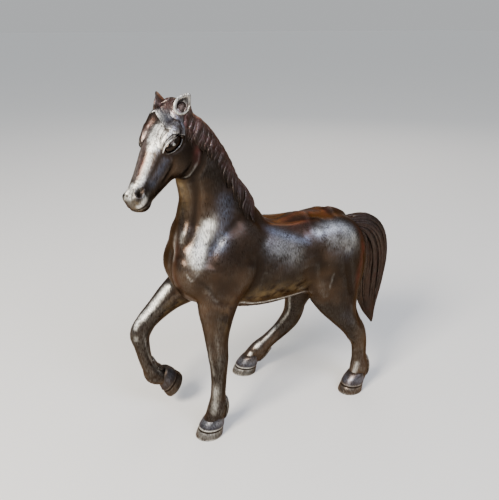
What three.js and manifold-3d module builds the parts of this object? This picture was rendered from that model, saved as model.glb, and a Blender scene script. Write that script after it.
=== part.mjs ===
// A cast bronze figurine of a walking horse, modelled in millimetres with +Z up.
// It faces -X and its left side faces -Y. The origin lies on the ground under the middle of its box.
import * as THREE from "three";
import Module from "manifold-3d";
import { mergeVertices } from "three/addons/utils/BufferGeometryUtils.js";

// Driving size: height of the back at the withers. Every other length is given for a withers
// height of 150 and grows with it.
const withersHeight = 150;
const grow = withersHeight / 150;

// Where the middle of the box lies, forward and left of the point under the saddle
const middle = { forward: -2.955, left: -4.75 };

// Head: the place of the poll, and how the head hangs and turns to the horse's left
const head = { poll: [61.5, -2, 212], pitch: 44.5, yaw: 30 };

// Hooves: where the middle of each sole is, its turn to the left and how far it is tipped forward
const hoofLength = 20;
const hoofWidth = 17;
const hoofHeight = 11;
const hoofPlaces = [
  { sole: [55, 22, 0], turn: 4, tip: 0 },
  { sole: [-62, 24.5, 0], turn: 4, tip: 0 },
  { sole: [0.5, -34, 0], turn: -4, tip: 0 },
  { sole: [64.5, -20, 17], turn: 0, tip: 52 },
];

// The tail's fall is fluted into locks, which turn a little as they fall.
const tailLocks = { count: 7, depth: 0.14, turnPerRow: 0.1 };
const earSize = { length: 14.5, halfWidth: 4.7 };
const maneLock = { count: 8, first: 0.04, last: 0.57, halfWidth: 3.6, halfThick: 1.5 };
const forelockLock = { halfWidth: 2.4, halfThick: 1.3 };
const eyeHalf = [3, 2.2, 1.6];
const nostrilHalf = [2.2, 1.3, 1.8];

// Spacing of the net that wraps the flesh, closer at the head and legs than along the trunk
const netSpacing = { head: 4, trunk: 6.3, legs: 4.8, across: 4.25, headUp: 3.75, bodyUp: 5.8 };
const headStartsAt = { forward: 54, up: 168 };
const trunkSpan = { from: -40, to: 32 };
const netBox = { forward: [-90, 110], left: [-48, 44], up: [-9, 232] };

// A form has no say in the flesh further than this from its own skin.
const nearby = 12;
const farOutside = 20;

// A station of a limb or trunk is [forward, left, up, half depth in the side view, half width].
const trunkLine = [
  [47, 0, 113, 22, 20],
  [30, 0, 114.5, 28.5, 23.5],
  [8, 0, 113.5, 32, 26],
  [-14, 0, 112.5, 31, 26.5],
  [-32, 0, 113.5, 28.5, 25.5],
  [-44, 0, 112.5, 27, 24],
  [-50, 0, 111.5, 23.5, 22.5],
];
const neckLine = [
  [36, 0, 126, 31, 19],
  [36.5, 0, 146, 27, 16.5],
  [39, 0, 162, 19.5, 13.5],
  [44, 0, 180, 16.5, 11.5],
  [51, -1, 196, 13.5, 10],
  [57, -1.5, 205, 10.5, 9],
];
const legLines = {
  left_fore: [
    [38, 15, 112, 17, 11],
    [42, 18, 96, 14, 10],
    [45, 20, 84, 10.5, 8.6],
    [46.5, 21, 72, 8, 7.2],
    [47, 22, 61, 6.8, 6.2],
    [47, 22, 55, 6.4, 5.8],
    [47.2, 22, 42, 5.4, 4.8],
    [48, 22, 29, 5.3, 4.8],
    [48.5, 22, 20, 7, 6],
    [51, 22, 13, 6.6, 6.2],
    [53, 22, 8, 7, 6.6],
  ],
  right_fore: [
    [40, -15, 110, 17, 11],
    [50, -17, 97, 13.5, 10],
    [63, -18.5, 88.5, 9.6, 8.4],
    [73, -19.5, 80.5, 7.6, 7.2],
    [81, -20, 73, 6.9, 6.6],
    [86.5, -20, 65, 7, 6.4],
    [86, -20, 56, 5.6, 5.4],
    [84.5, -20, 45, 4.9, 4.8],
    [81.5, -20, 36, 5.4, 5.2],
    [78, -20, 30, 6.8, 6],
    [72.5, -20, 25.5, 6.4, 6.2],
    [69, -20, 22, 6.8, 6.6],
  ],
  left_hind: [
    [-44, 11, 108, 26, 13],
    [-47, 13, 93, 23.5, 12.5],
    [-48, 16, 80, 19, 11],
    [-52, 19, 68, 12.5, 9],
    [-60, 21, 57, 8.8, 7.2],
    [-66, 22, 48, 8, 6.4],
    [-69, 22.5, 39, 6.3, 5.3],
    [-69.5, 23, 28, 5.6, 5],
    [-70.3, 23.5, 19, 7, 6],
    [-69, 24, 12.5, 6.6, 6.2],
    [-66.5, 24, 8, 7, 6.6],
  ],
  right_hind: [
    [-44, -11, 108, 26, 13],
    [-45, -14, 92, 22, 12.5],
    [-42, -18, 77, 15, 11],
    [-40, -21.5, 62, 9.8, 8.6],
    [-38.5, -24.5, 50, 8.4, 7],
    [-35.5, -27, 41.5, 8.2, 6.4],
    [-28.5, -29.5, 34, 6.8, 5.4],
    [-18, -31.5, 25.5, 6, 5],
    [-10, -33, 18, 7.4, 6],
    [-5, -34, 12, 7, 6.2],
    [-2, -34, 8, 7, 6.6],
  ],
};

const tailLine = [
  [-58, 0, 127, 6, 6],
  [-70, 0, 127, 7, 6.5],
  [-82, 0, 123, 10, 8],
  [-89, 0, 113, 13, 9.5],
  [-91.5, 0, 98, 13.5, 10],
  [-91, 0, 82, 12.5, 9.5],
  [-91, 0, 67, 10.5, 8],
  [-93, 0, 54, 7.5, 6],
  [-96, 0, 44, 3.6, 3.4],
  [-98, 0, 38, 1, 1],
];

// Stations of the head: along it from the poll, towards its face, to its left, then the halves
const headLine = [
  [3, -6, 0, 11.4, 9.6],
  [11, -6.4, 0, 14, 11],
  [21, -7, 0, 15, 10.8],
  [30.5, -6.6, 0, 12.8, 9.2],
  [40, -6.2, 0, 10.4, 7.4],
  [48.5, -5.6, 0, 8.6, 6.9],
  [53, -5.6, 0, 7.4, 7],
];

// Rounded masses: [forward, left, up], half sizes and the lean in the side view, on both sides
const bodyMasses = [
  { at: [31, 15.5, 121], half: [16, 8.5, 26], lean: -22, blend: 7 },
  { at: [57, 11, 118.5], half: [13, 10.5, 16.5], lean: 0, blend: 5 },
  { at: [-47, 12.5, 118.5], half: [23, 12.5, 19.5], lean: 0, blend: 8 },
  { at: [-55, 13.5, 102], half: [18.5, 10.5, 24], lean: -6, blend: 6 },
  { at: [-33, 15, 93], half: [9, 9, 11], lean: 20, blend: 5 },
];
const headMasses = [
  { at: [21.5, -13.5, 5.4], half: [10.5, 10.8, 5.8], blend: 3 },
  { at: [16, 3.2, 7.6], half: [7.5, 3.4, 3.4], blend: 3 },
  { at: [53.5, -1.4, 4.4], half: [4.2, 3, 2.7], blend: 2.5 },
  { at: [53.5, -9.4, 1.6], half: [4.4, 4.2, 4], blend: 2 },
];

// Turns a direction or place given as forward, left and up into the model's own axes.
const place = (forward, left, up) => new THREE.Vector3(-forward, -left, up);

const radians = THREE.MathUtils.degToRad;
const headTurn = { pitch: radians(head.pitch), yaw: radians(head.yaw) };
const level = Math.cos(headTurn.pitch);
const drop = Math.sin(headTurn.pitch);
const ahead = [Math.cos(headTurn.yaw), Math.sin(headTurn.yaw)];
const headAxes = {
  along: [level * ahead[0], level * ahead[1], -drop],
  face: [drop * ahead[0], drop * ahead[1], level],
  left: [-ahead[1], ahead[0], 0],
};

// A place on the head, in the horse's forward, left and up
function onHead(along, face, left) {
  return [0, 1, 2].map((axis) =>
    head.poll[axis] + along * headAxes.along[axis] + face * headAxes.face[axis] + left * headAxes.left[axis]);
}

// Smooth curve of all the numbers of the stations, with a few steps between each two
function smoothLine(stations, steps) {
  const last = stations.length - 1;
  const rows = [];
  for (let i = 0; i < last; i++) {
    const [a, b, c, d] = [i - 1, i, i + 1, i + 2].map((k) => stations[Math.min(Math.max(k, 0), last)]);
    for (let step = 0; step < steps; step++) {
      const t = step / steps;
      rows.push(b.map((value, n) => value + 0.5 * t * (c[n] - a[n]
        + t * (2 * a[n] - 5 * value + 4 * c[n] - d[n] + t * (3 * (value - c[n]) + d[n] - a[n])))));
    }
  }
  rows.push(stations[last]);
  return rows;
}

// How far a point lies outside a tube whose section is an ellipse, wide along the side direction
function tube(stations, blend, side = [0, 1, 0], steps = 4) {
  const rows = smoothLine(stations, steps);
  const reach = Math.max(...stations.map((row) => Math.max(row[3], row[4]))) + nearby;
  const low = [0, 1, 2].map((axis) => Math.min(...rows.map((row) => row[axis])) - reach);
  const high = [0, 1, 2].map((axis) => Math.max(...rows.map((row) => row[axis])) + reach);
  const distance = (p) => {
    let nearest = Infinity;
    for (let i = 0; i + 1 < rows.length; i++) {
      const from = rows[i];
      const to = rows[i + 1];
      const run = [to[0] - from[0], to[1] - from[1], to[2] - from[2]];
      const gap = [p[0] - from[0], p[1] - from[1], p[2] - from[2]];
      const share = (gap[0] * run[0] + gap[1] * run[1] + gap[2] * run[2])
        / (run[0] * run[0] + run[1] * run[1] + run[2] * run[2]);
      const t = Math.min(Math.max(share, 0), 1);
      const off = [gap[0] - t * run[0], gap[1] - t * run[1], gap[2] - t * run[2]];
      const sideways = off[0] * side[0] + off[1] * side[1] + off[2] * side[2];
      const length = Math.hypot(off[0], off[1], off[2]);
      const inPlane = Math.sqrt(Math.max(length * length - sideways * sideways, 0));
      const deep = from[3] + t * (to[3] - from[3]);
      const wide = from[4] + t * (to[4] - from[4]);
      const ratio = Math.hypot(inPlane / deep, sideways / wide);
      nearest = Math.min(nearest, ratio > 0 ? length - length / ratio : -Math.min(deep, wide));
    }
    return nearest;
  };
  return { distance, low, high, blend };
}

// How far a point lies outside an ellipsoid whose own axes are three unit directions
function mass(at, half, axes, blend) {
  const reach = Math.max(...half) + nearby;
  const distance = (p) => {
    const gap = [p[0] - at[0], p[1] - at[1], p[2] - at[2]];
    const scaled = axes.map((axis, n) => (gap[0] * axis[0] + gap[1] * axis[1] + gap[2] * axis[2]) / half[n]);
    const ratio = Math.hypot(...scaled);
    const length = Math.hypot(...gap);
    return ratio > 0 ? length - length / ratio : -Math.min(...half);
  };
  return { distance, low: at.map((v) => v - reach), high: at.map((v) => v + reach), blend };
}

// Axes of a mass that leans in the side view, its top going back where the lean is below nought
function leaningAxes(lean) {
  const c = Math.cos(radians(lean));
  const s = Math.sin(radians(lean));
  return [[c, 0, -s], [0, 1, 0], [s, 0, c]];
}

const mirrored = (at, side) => [at[0], at[1] * side, at[2]];
const headPlaced = (rows) => rows.map((row) => [...onHead(row[0], row[1], row[2]), row[3], row[4]]);

const forms = [
  tube(trunkLine, 0),
  tube(neckLine, 9),
  ...Object.values(legLines).map((line) => tube(line, 5)),
  tube(headPlaced(headLine), 3, headAxes.left),
];
for (const side of [1, -1]) {
  for (const form of bodyMasses) {
    forms.push(mass(mirrored(form.at, side), form.half, leaningAxes(form.lean), form.blend));
  }
  for (const form of headMasses) {
    const [along, face, left] = form.at;
    const axes = [headAxes.along, headAxes.face, headAxes.left];
    forms.push(mass(onHead(along, face, left * side), form.half, axes, form.blend));
  }
}

// How far a point lies outside the whole flesh of the horse, all its forms melted together
function flesh(p) {
  let result = farOutside;
  for (const form of forms) {
    const inside = p.every((value, axis) => value > form.low[axis] && value < form.high[axis]);
    if (!inside) continue;
    const distance = form.distance(p);
    const soft = Math.max(form.blend - Math.abs(result - distance), 0);
    result = Math.min(result, distance) - (form.blend > 0 ? (soft * soft) / (4 * form.blend) : 0);
  }
  return result;
}

// How far a point lies outside the flesh, and which way that grows
function slopeOf(p) {
  const reach = 0.2;
  const here = flesh(p);
  const slope = [0, 1, 2].map((axis) => {
    const moved = [...p];
    moved[axis] += reach;
    return (flesh(moved) - here) / reach;
  });
  return { here, slope };
}

// Moves a point straight onto the skin.
function toSkin(p) {
  const tries = 3;
  const leastSteep = 0.1;
  let q = p;
  for (let i = 0; i < tries; i++) {
    const { here, slope } = slopeOf(q);
    const steep = slope[0] ** 2 + slope[1] ** 2 + slope[2] ** 2;
    q = q.map((value, axis) => value - (here * slope[axis]) / Math.max(steep, leastSteep));
  }
  return q;
}

// Grid lines from one end to the other, with the spacing wished for at each place
function gridLines(from, to, spacingAt) {
  const lines = [from];
  while (lines[lines.length - 1] < to) {
    lines.push(lines[lines.length - 1] + spacingAt(lines[lines.length - 1]));
  }
  return lines;
}

// Where only two corners of a grid square lie inside, and across from each other, a third is filled,
// so that the net never touches itself.
function closeDiagonals(field, size, step) {
  const filled = -0.05;
  const count = size[0] * size[1] * size[2];
  let changed = true;
  while (changed) {
    changed = false;
    for (let base = 0; base < count; base++) {
      for (const [u, v] of [[step[0], step[1]], [step[1], step[2]], [step[0], step[2]]]) {
        if (base + u + v >= count) continue;
        const square = [base, base + u, base + u + v, base + v];
        const inside = square.map((corner) => field[corner] < 0);
        if (inside[0] !== inside[2] || inside[1] !== inside[3] || inside[0] === inside[1]) continue;
        const [a, b] = inside[0] ? [square[1], square[3]] : [square[0], square[2]];
        field[field[a] < field[b] ? a : b] = filled;
        changed = true;
      }
    }
  }
}

// Wraps the flesh in a net: one point in each grid cell that the skin passes, joined across its edges
function skinNet() {
  const lines = [
    gridLines(...netBox.forward, (forward) => {
      if (forward > headStartsAt.forward) return netSpacing.head;
      return forward > trunkSpan.from && forward < trunkSpan.to ? netSpacing.trunk : netSpacing.legs;
    }),
    gridLines(...netBox.left, () => netSpacing.across),
    gridLines(...netBox.up, (up) => (up > headStartsAt.up ? netSpacing.headUp : netSpacing.bodyUp)),
  ];
  const size = lines.map((line) => line.length);
  const index = (i, j, k) => (i * size[1] + j) * size[2] + k;
  const field = new Float64Array(size[0] * size[1] * size[2]);
  for (let i = 0; i < size[0]; i++) {
    for (let j = 0; j < size[1]; j++) {
      for (let k = 0; k < size[2]; k++) {
        field[index(i, j, k)] = flesh([lines[0][i], lines[1][j], lines[2][k]]);
      }
    }
  }
  closeDiagonals(field, size, [size[1] * size[2], size[2], 1]);
  const corners = [0, 1, 2, 3, 4, 5, 6, 7].map((n) => [n & 1, (n >> 1) & 1, (n >> 2) & 1]);
  const edges = [];
  for (let a = 0; a < 8; a++) for (const bit of [1, 2, 4]) if (!(a & bit)) edges.push([a, a | bit]);

  const points = [];
  const cellPoint = new Int32Array(field.length).fill(-1);
  for (let i = 0; i + 1 < size[0]; i++) {
    for (let j = 0; j + 1 < size[1]; j++) {
      for (let k = 0; k + 1 < size[2]; k++) {
        const values = corners.map(([a, b, c]) => field[index(i + a, j + b, k + c)]);
        const sum = [0, 0, 0];
        let crossings = 0;
        for (const [a, b] of edges) {
          if (values[a] < 0 === values[b] < 0) continue;
          const t = values[a] / (values[a] - values[b]);
          [i, j, k].forEach((base, axis) => {
            const start = lines[axis][base + corners[a][axis]];
            const end = lines[axis][base + corners[b][axis]];
            sum[axis] += start + t * (end - start);
          });
          crossings += 1;
        }
        if (crossings === 0) continue;
        cellPoint[index(i, j, k)] = points.length;
        points.push(toSkin(sum.map((value) => value / crossings)));
      }
    }
  }

  const triangles = [];
  const gapBetween = (a, b) => Math.hypot(...[0, 1, 2].map((axis) => points[a][axis] - points[b][axis]));
  const step = [size[1] * size[2], size[2], 1];
  for (let i = 1; i + 1 < size[0]; i++) {
    for (let j = 1; j + 1 < size[1]; j++) {
      for (let k = 1; k + 1 < size[2]; k++) {
        const base = index(i, j, k);
        for (let axis = 0; axis < 3; axis++) {
          const isIn = field[base] < 0;
          if (isIn === field[base + step[axis]] < 0) continue;
          const u = step[(axis + 1) % 3];
          const v = step[(axis + 2) % 3];
          const ring = [base, base - u, base - u - v, base - v].map((cell) => cellPoint[cell]);
          const [a, b, c, d] = isIn ? ring : [...ring].reverse();
          if (gapBetween(a, c) < gapBetween(b, d)) triangles.push([a, b, c], [a, c, d]);
          else triangles.push([a, b, d], [b, c, d]);
        }
      }
    }
  }
  return solidFrom(points, triangles);
}

const wasm = await Module();
wasm.setup();

// A manifold solid from points in forward, left and up, and triangles
function solidFrom(points, triangles) {
  const positions = points.flatMap((p) => place(...p).toArray());
  return new wasm.Manifold(new wasm.Mesh({
    numProp: 3,
    vertProperties: new Float32Array(positions),
    triVerts: new Uint32Array(triangles.flat()),
  }));
}

// The same, with the faces turned outwards if they point in
function outward(points, triangles) {
  const solid = solidFrom(points, triangles);
  return solid.volume() > 0 ? solid : solidFrom(points, triangles.map(([a, b, c]) => [a, c, b]));
}

// Closes a row of rings, each with the same number of points, into a solid with capped ends.
function loft(rings) {
  const sides = rings[0].length;
  const points = rings.flat();
  const triangles = [];
  const centreOf = (ring) => [0, 1, 2].map((axis) => ring.reduce((sum, p) => sum + p[axis], 0) / sides);
  for (let row = 0; row + 1 < rings.length; row++) {
    for (let n = 0; n < sides; n++) {
      const a = row * sides + n;
      const b = row * sides + ((n + 1) % sides);
      triangles.push([a, b, b + sides], [a, b + sides, a + sides]);
    }
  }
  const first = points.push(centreOf(rings[0])) - 1;
  const last = points.push(centreOf(rings[rings.length - 1])) - 1;
  const top = (rings.length - 1) * sides;
  for (let n = 0; n < sides; n++) {
    triangles.push([first, (n + 1) % sides, n], [last, top + n, top + ((n + 1) % sides)]);
  }
  return outward(points, triangles);
}

// A hoof: flat below, its wall sloping back and in towards the coronet
function hoof(sole, turn, tip) {
  const sides = 16;
  const heelShare = 0.9;
  const levels = [
    { height: 0, length: 0.5, width: 0.5, back: 0 },
    { height: 0.5, length: 0.46, width: 0.46, back: 1.6 },
    { height: 0.86, length: 0.42, width: 0.43, back: 3 },
    { height: 1, length: 0.36, width: 0.37, back: 3.6 },
  ];
  const rings = levels.map(({ height, length, width, back }) => {
    const ring = [];
    for (let n = 0; n < sides; n++) {
      const angle = (2 * Math.PI * n) / sides;
      const heel = Math.cos(angle) < 0 ? heelShare : 1;
      const forward = length * hoofLength * Math.cos(angle) * heel - back;
      const left = width * hoofWidth * Math.sin(angle);
      const up = height * hoofHeight;
      const tippedForward = forward * Math.cos(tip) + up * Math.sin(tip);
      const tippedUp = up * Math.cos(tip) - forward * Math.sin(tip);
      ring.push([
        sole[0] + tippedForward * Math.cos(turn) - left * Math.sin(turn),
        sole[1] + tippedForward * Math.sin(turn) + left * Math.cos(turn),
        sole[2] + tippedUp,
      ]);
    }
    return ring;
  });
  return loft(rings);
}

const hooves = hoofPlaces.map(({ sole, turn, tip }) => hoof(sole, radians(turn), radians(tip)));

// The tail: a thick fall of hair from the dock, its section fluted into locks
function tail() {
  const sides = 3 * tailLocks.count;
  const plainRows = 2;
  const rows = smoothLine(tailLine, 2);
  const rings = rows.map((row, i) => {
    const before = rows[Math.max(i - 1, 0)];
    const after = rows[Math.min(i + 1, rows.length - 1)];
    const run = [after[0] - before[0], after[2] - before[2]];
    const length = Math.hypot(...run);
    const across = [-run[1] / length, run[0] / length];
    const ring = [];
    for (let n = 0; n < sides; n++) {
      const angle = (2 * Math.PI * n) / sides;
      const depth = i < plainRows ? 0 : tailLocks.depth;
      const flute = 1 + depth * Math.cos(tailLocks.count * (angle + i * tailLocks.turnPerRow));
      const deep = row[3] * flute * Math.cos(angle);
      const wide = row[4] * flute * Math.sin(angle);
      ring.push([row[0] + across[0] * deep, row[1] + wide, row[2] + across[1] * deep]);
    }
    return ring;
  });
  return loft(rings);
}

// An ear: a pointed leaf, cupped on the side that faces forward and out
function ear(side) {
  const sides = 12;
  const cupDepth = 0.35;
  const backBulge = 0.75;
  const edgeThick = 0.35;
  const leaf = { start: 0.22, span: 0.76 };
  const root = new THREE.Vector3(...onHead(0, 1.5, 7.6 * side));
  const tip = new THREE.Vector3(...onHead(-11, 8, 12 * side));
  const run = tip.sub(root).normalize();
  const sideways = new THREE.Vector3(...headAxes.left).multiplyScalar(0.5 * side);
  const open = sideways.add(new THREE.Vector3(...headAxes.face)).projectOnPlane(run).normalize();
  const across = new THREE.Vector3().crossVectors(run, open);
  const rings = [0, 0.2, 0.42, 0.64, 0.82, 0.95].map((share) => {
    const half = earSize.halfWidth * Math.sin(Math.PI * (leaf.start + leaf.span * share)) + edgeThick;
    const middleOfRing = root.clone().addScaledVector(run, share * earSize.length);
    const ring = [];
    for (let n = 0; n < sides; n++) {
      const angle = (2 * Math.PI * n) / sides;
      const forward = -half * Math.sin(angle) * (Math.sin(angle) > 0 ? -cupDepth : backBulge);
      const point = middleOfRing.clone().addScaledVector(open, forward);
      ring.push(point.addScaledVector(across, half * Math.cos(angle)).toArray());
    }
    return ring;
  });
  return loft(rings);
}

// A flat lock of hair on the skin, blunt where it starts and running out to a point
function lock(path, halfWidth, halfThick) {
  const sides = 6;
  const steps = 6;
  const bluntShare = 0.2;
  const pointShare = 0.975;
  const spine = smoothLine(path, steps / (path.length - 1)).map((p) => toSkin(p));
  const rings = spine.map((centre, i) => {
    const before = new THREE.Vector3(...spine[Math.max(i - 1, 0)]);
    const after = new THREE.Vector3(...spine[Math.min(i + 1, spine.length - 1)]);
    const out = new THREE.Vector3(...slopeOf(centre).slope).normalize();
    const across = new THREE.Vector3().crossVectors(out, after.sub(before)).normalize();
    const share = bluntShare + ((1 - bluntShare) * i) / (spine.length - 1);
    const taper = Math.sin(Math.PI * Math.min(share, pointShare));
    const ring = [];
    for (let n = 0; n < sides; n++) {
      const angle = (2 * Math.PI * n) / sides;
      const wide = halfWidth * taper * Math.cos(angle);
      const thick = halfThick * Math.sqrt(taper) * Math.sin(angle);
      ring.push(centre.map((value, axis) =>
        value + wide * across.getComponent(axis) + thick * out.getComponent(axis)));
    }
    return ring;
  });
  return loft(rings);
}

// A place on the neck: how far down it from the poll, and how far round from the crest to the left
function onNeck(down, round) {
  const rows = smoothLine([...neckLine].reverse(), 8);
  const row = rows[Math.round(Math.min(down, 1) * (rows.length - 1))];
  return [row[0] - row[3] * Math.cos(round), row[1] + row[4] * Math.sin(round), row[2]];
}

// The mane falls to the left of the crest in overlapping locks.
const mane = [];
for (let n = 0; n < maneLock.count; n++) {
  const down = maneLock.first + ((maneLock.last - maneLock.first) * n) / (maneLock.count - 1);
  const path = [
    onNeck(down, radians(2)),
    onNeck(down + 0.07, radians(30)),
    onNeck(down + 0.17, radians(44)),
    onNeck(down + 0.22, radians(62)),
  ];
  mane.push(lock(path, maneLock.halfWidth, maneLock.halfThick));
}

// The forelock: three locks from between the ears down the forehead
const forelock = [-1, 0, 1].map((side) => {
  const path = [onHead(-3, 5, 1.6 * side), onHead(5, 8, 2.6 * side + 1), onHead(13, 9, 4.4 * side + 1.5)];
  return lock(path, forelockLock.halfWidth, forelockLock.halfThick);
});

// A ball on the head, with its half sizes along the head, towards the face and to the left
function ball(at, half) {
  const geometry = new THREE.IcosahedronGeometry(1, 1).scale(...half);
  geometry.deleteAttribute("normal");
  geometry.deleteAttribute("uv");
  const merged = mergeVertices(geometry, 1e-4);
  const position = merged.attributes.position;
  const points = [];
  for (let n = 0; n < position.count; n++) {
    const [along, face, left] = [0, 1, 2].map((axis) => position.getComponent(n, axis));
    points.push(onHead(at[0] + along, at[1] + face, at[2] + left));
  }
  const triangles = [];
  for (let n = 0; n < merged.index.count; n += 3) {
    triangles.push([0, 1, 2].map((k) => merged.index.array[n + k]));
  }
  return outward(points, triangles);
}

const eyes = [1, -1].map((side) => ball([18.5, 0.5, 10 * side], eyeHalf));
const nostrils = [1, -1].map((side) => ball([56, -1, 5.6 * side], nostrilHalf));

// Joins everything into the one casting, and sinks the nostrils into it.
const joined = [...hooves, tail(), ear(1), ear(-1), ...mane, ...forelock, ...eyes]
  .reduce((whole, piece) => whole.add(piece), skinNet());
const casting = nostrils.reduce((whole, nostril) => whole.subtract(nostril), joined);

function meshOf(solid, name, material) {
  const { vertProperties, triVerts } = solid.getMesh();
  const geometry = new THREE.BufferGeometry();
  geometry.setAttribute("position", new THREE.BufferAttribute(new Float32Array(vertProperties), 3));
  geometry.setIndex(new THREE.BufferAttribute(new Uint32Array(triVerts), 1));
  geometry.translate(middle.forward, middle.left, 0);
  geometry.scale(grow, grow, grow);
  const merged = mergeVertices(geometry, 1e-4);
  merged.computeVertexNormals();
  const mesh = new THREE.Mesh(merged, material);
  mesh.name = name;
  return mesh;
}

const bronze = new THREE.MeshStandardMaterial({ color: 0x3a2a20, metalness: 1, roughness: 0.38 });
const figurine = new THREE.Group();
figurine.add(meshOf(casting, "horse", bronze));

export default figurine;
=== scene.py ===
import math
import bmesh
import bpy
import numpy as np
from mathutils import Matrix, Vector


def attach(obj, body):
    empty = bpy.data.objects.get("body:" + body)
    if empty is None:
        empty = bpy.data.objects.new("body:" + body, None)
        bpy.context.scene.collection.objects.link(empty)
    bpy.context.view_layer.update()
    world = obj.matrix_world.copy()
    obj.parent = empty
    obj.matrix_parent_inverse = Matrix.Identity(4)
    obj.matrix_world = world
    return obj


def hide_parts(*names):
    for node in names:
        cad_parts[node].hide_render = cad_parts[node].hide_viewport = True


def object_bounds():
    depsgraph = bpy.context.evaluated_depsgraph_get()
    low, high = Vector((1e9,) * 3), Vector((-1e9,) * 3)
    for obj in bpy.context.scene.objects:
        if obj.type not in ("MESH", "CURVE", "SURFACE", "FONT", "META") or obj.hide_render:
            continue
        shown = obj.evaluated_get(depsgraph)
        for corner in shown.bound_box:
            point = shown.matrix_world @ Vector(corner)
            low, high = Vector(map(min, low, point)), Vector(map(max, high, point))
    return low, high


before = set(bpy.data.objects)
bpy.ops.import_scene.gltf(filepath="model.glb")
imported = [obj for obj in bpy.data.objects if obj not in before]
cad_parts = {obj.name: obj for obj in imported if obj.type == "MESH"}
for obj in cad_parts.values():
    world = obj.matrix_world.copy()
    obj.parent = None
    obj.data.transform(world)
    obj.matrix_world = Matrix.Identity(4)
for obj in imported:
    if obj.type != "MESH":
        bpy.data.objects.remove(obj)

cadBox = [list(corner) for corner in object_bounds()]

# The horse is modelled in millimetres forward, left and up from the ground under its back.
# The shared frame is in metres, with the nose towards -X and the left side towards -Y.
model = {
    "earTips": 226.115,                          # height of the whole in the model's own millimetres
    "middle": {"forward": 2.955, "left": 4.75},  # how far the middle of the box lies behind and right
    "poll": (61.5, -2, 212),
    "headPitch": 44.5,
    "headYaw": 30,
    "nearby": 12,                                # a form has no say further than this from its skin
    "farOutside": 20,
    "seed": 11,
}
metresPerUnit = (cadBox[1][2] - cadBox[0][2]) / model["earTips"]
chance = np.random.default_rng(model["seed"])


def toFrame(points):
    p = np.asarray(points, float)
    forward = -(p[:, 0] + model["middle"]["forward"])
    left = -(p[:, 1] + model["middle"]["left"])
    return np.stack([forward, left, p[:, 2]], axis=1) * metresPerUnit


def unit(v):
    v = np.asarray(v, float)
    return v / max(np.linalg.norm(v), 1e-9)


def headAxes():
    pitch = math.radians(model["headPitch"])
    yaw = math.radians(model["headYaw"])
    ahead = np.array([math.cos(yaw), math.sin(yaw), 0])
    up = np.array([0, 0, 1])
    along = math.cos(pitch) * ahead - math.sin(pitch) * up
    face = math.sin(pitch) * ahead + math.cos(pitch) * up
    left = np.array([-math.sin(yaw), math.cos(yaw), 0])
    return along, face, left


headAlong, headFace, headLeft = headAxes()
headTurn = np.column_stack([headAlong, headFace, headLeft])


# A place on the head: along it from the poll, towards its face, to its left
def onHead(along, face, left):
    return np.array(model["poll"]) + headTurn @ np.array([along, face, left], float)


def pathOnHead(path, side=1):
    return [onHead(along, face, left * side) for along, face, left in path]


# The same stations on the head, with their places forward, left and up
def headStations(rows):
    return [[*onHead(*row[:3]), *row[3:]] for row in rows]


def sideName(side, what):
    return ("left_" if side > 0 else "right_") + what


# Smooth curve of all the numbers of the stations, with a few steps between each two
def smoothLine(stations, steps=4):
    rows = [np.array(station, float) for station in stations]
    last = len(rows) - 1
    curve = []
    for i in range(last):
        a, b, c, d = (rows[min(max(k, 0), last)] for k in (i - 1, i, i + 1, i + 2))
        for step in range(steps):
            t = step / steps
            cubic = 3 * (b - c) + d - a
            square = 2 * a - 5 * b + 4 * c - d
            curve.append(b + 0.5 * t * (c - a + t * (square + t * cubic)))
    curve.append(rows[last])
    return np.array(curve)


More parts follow.
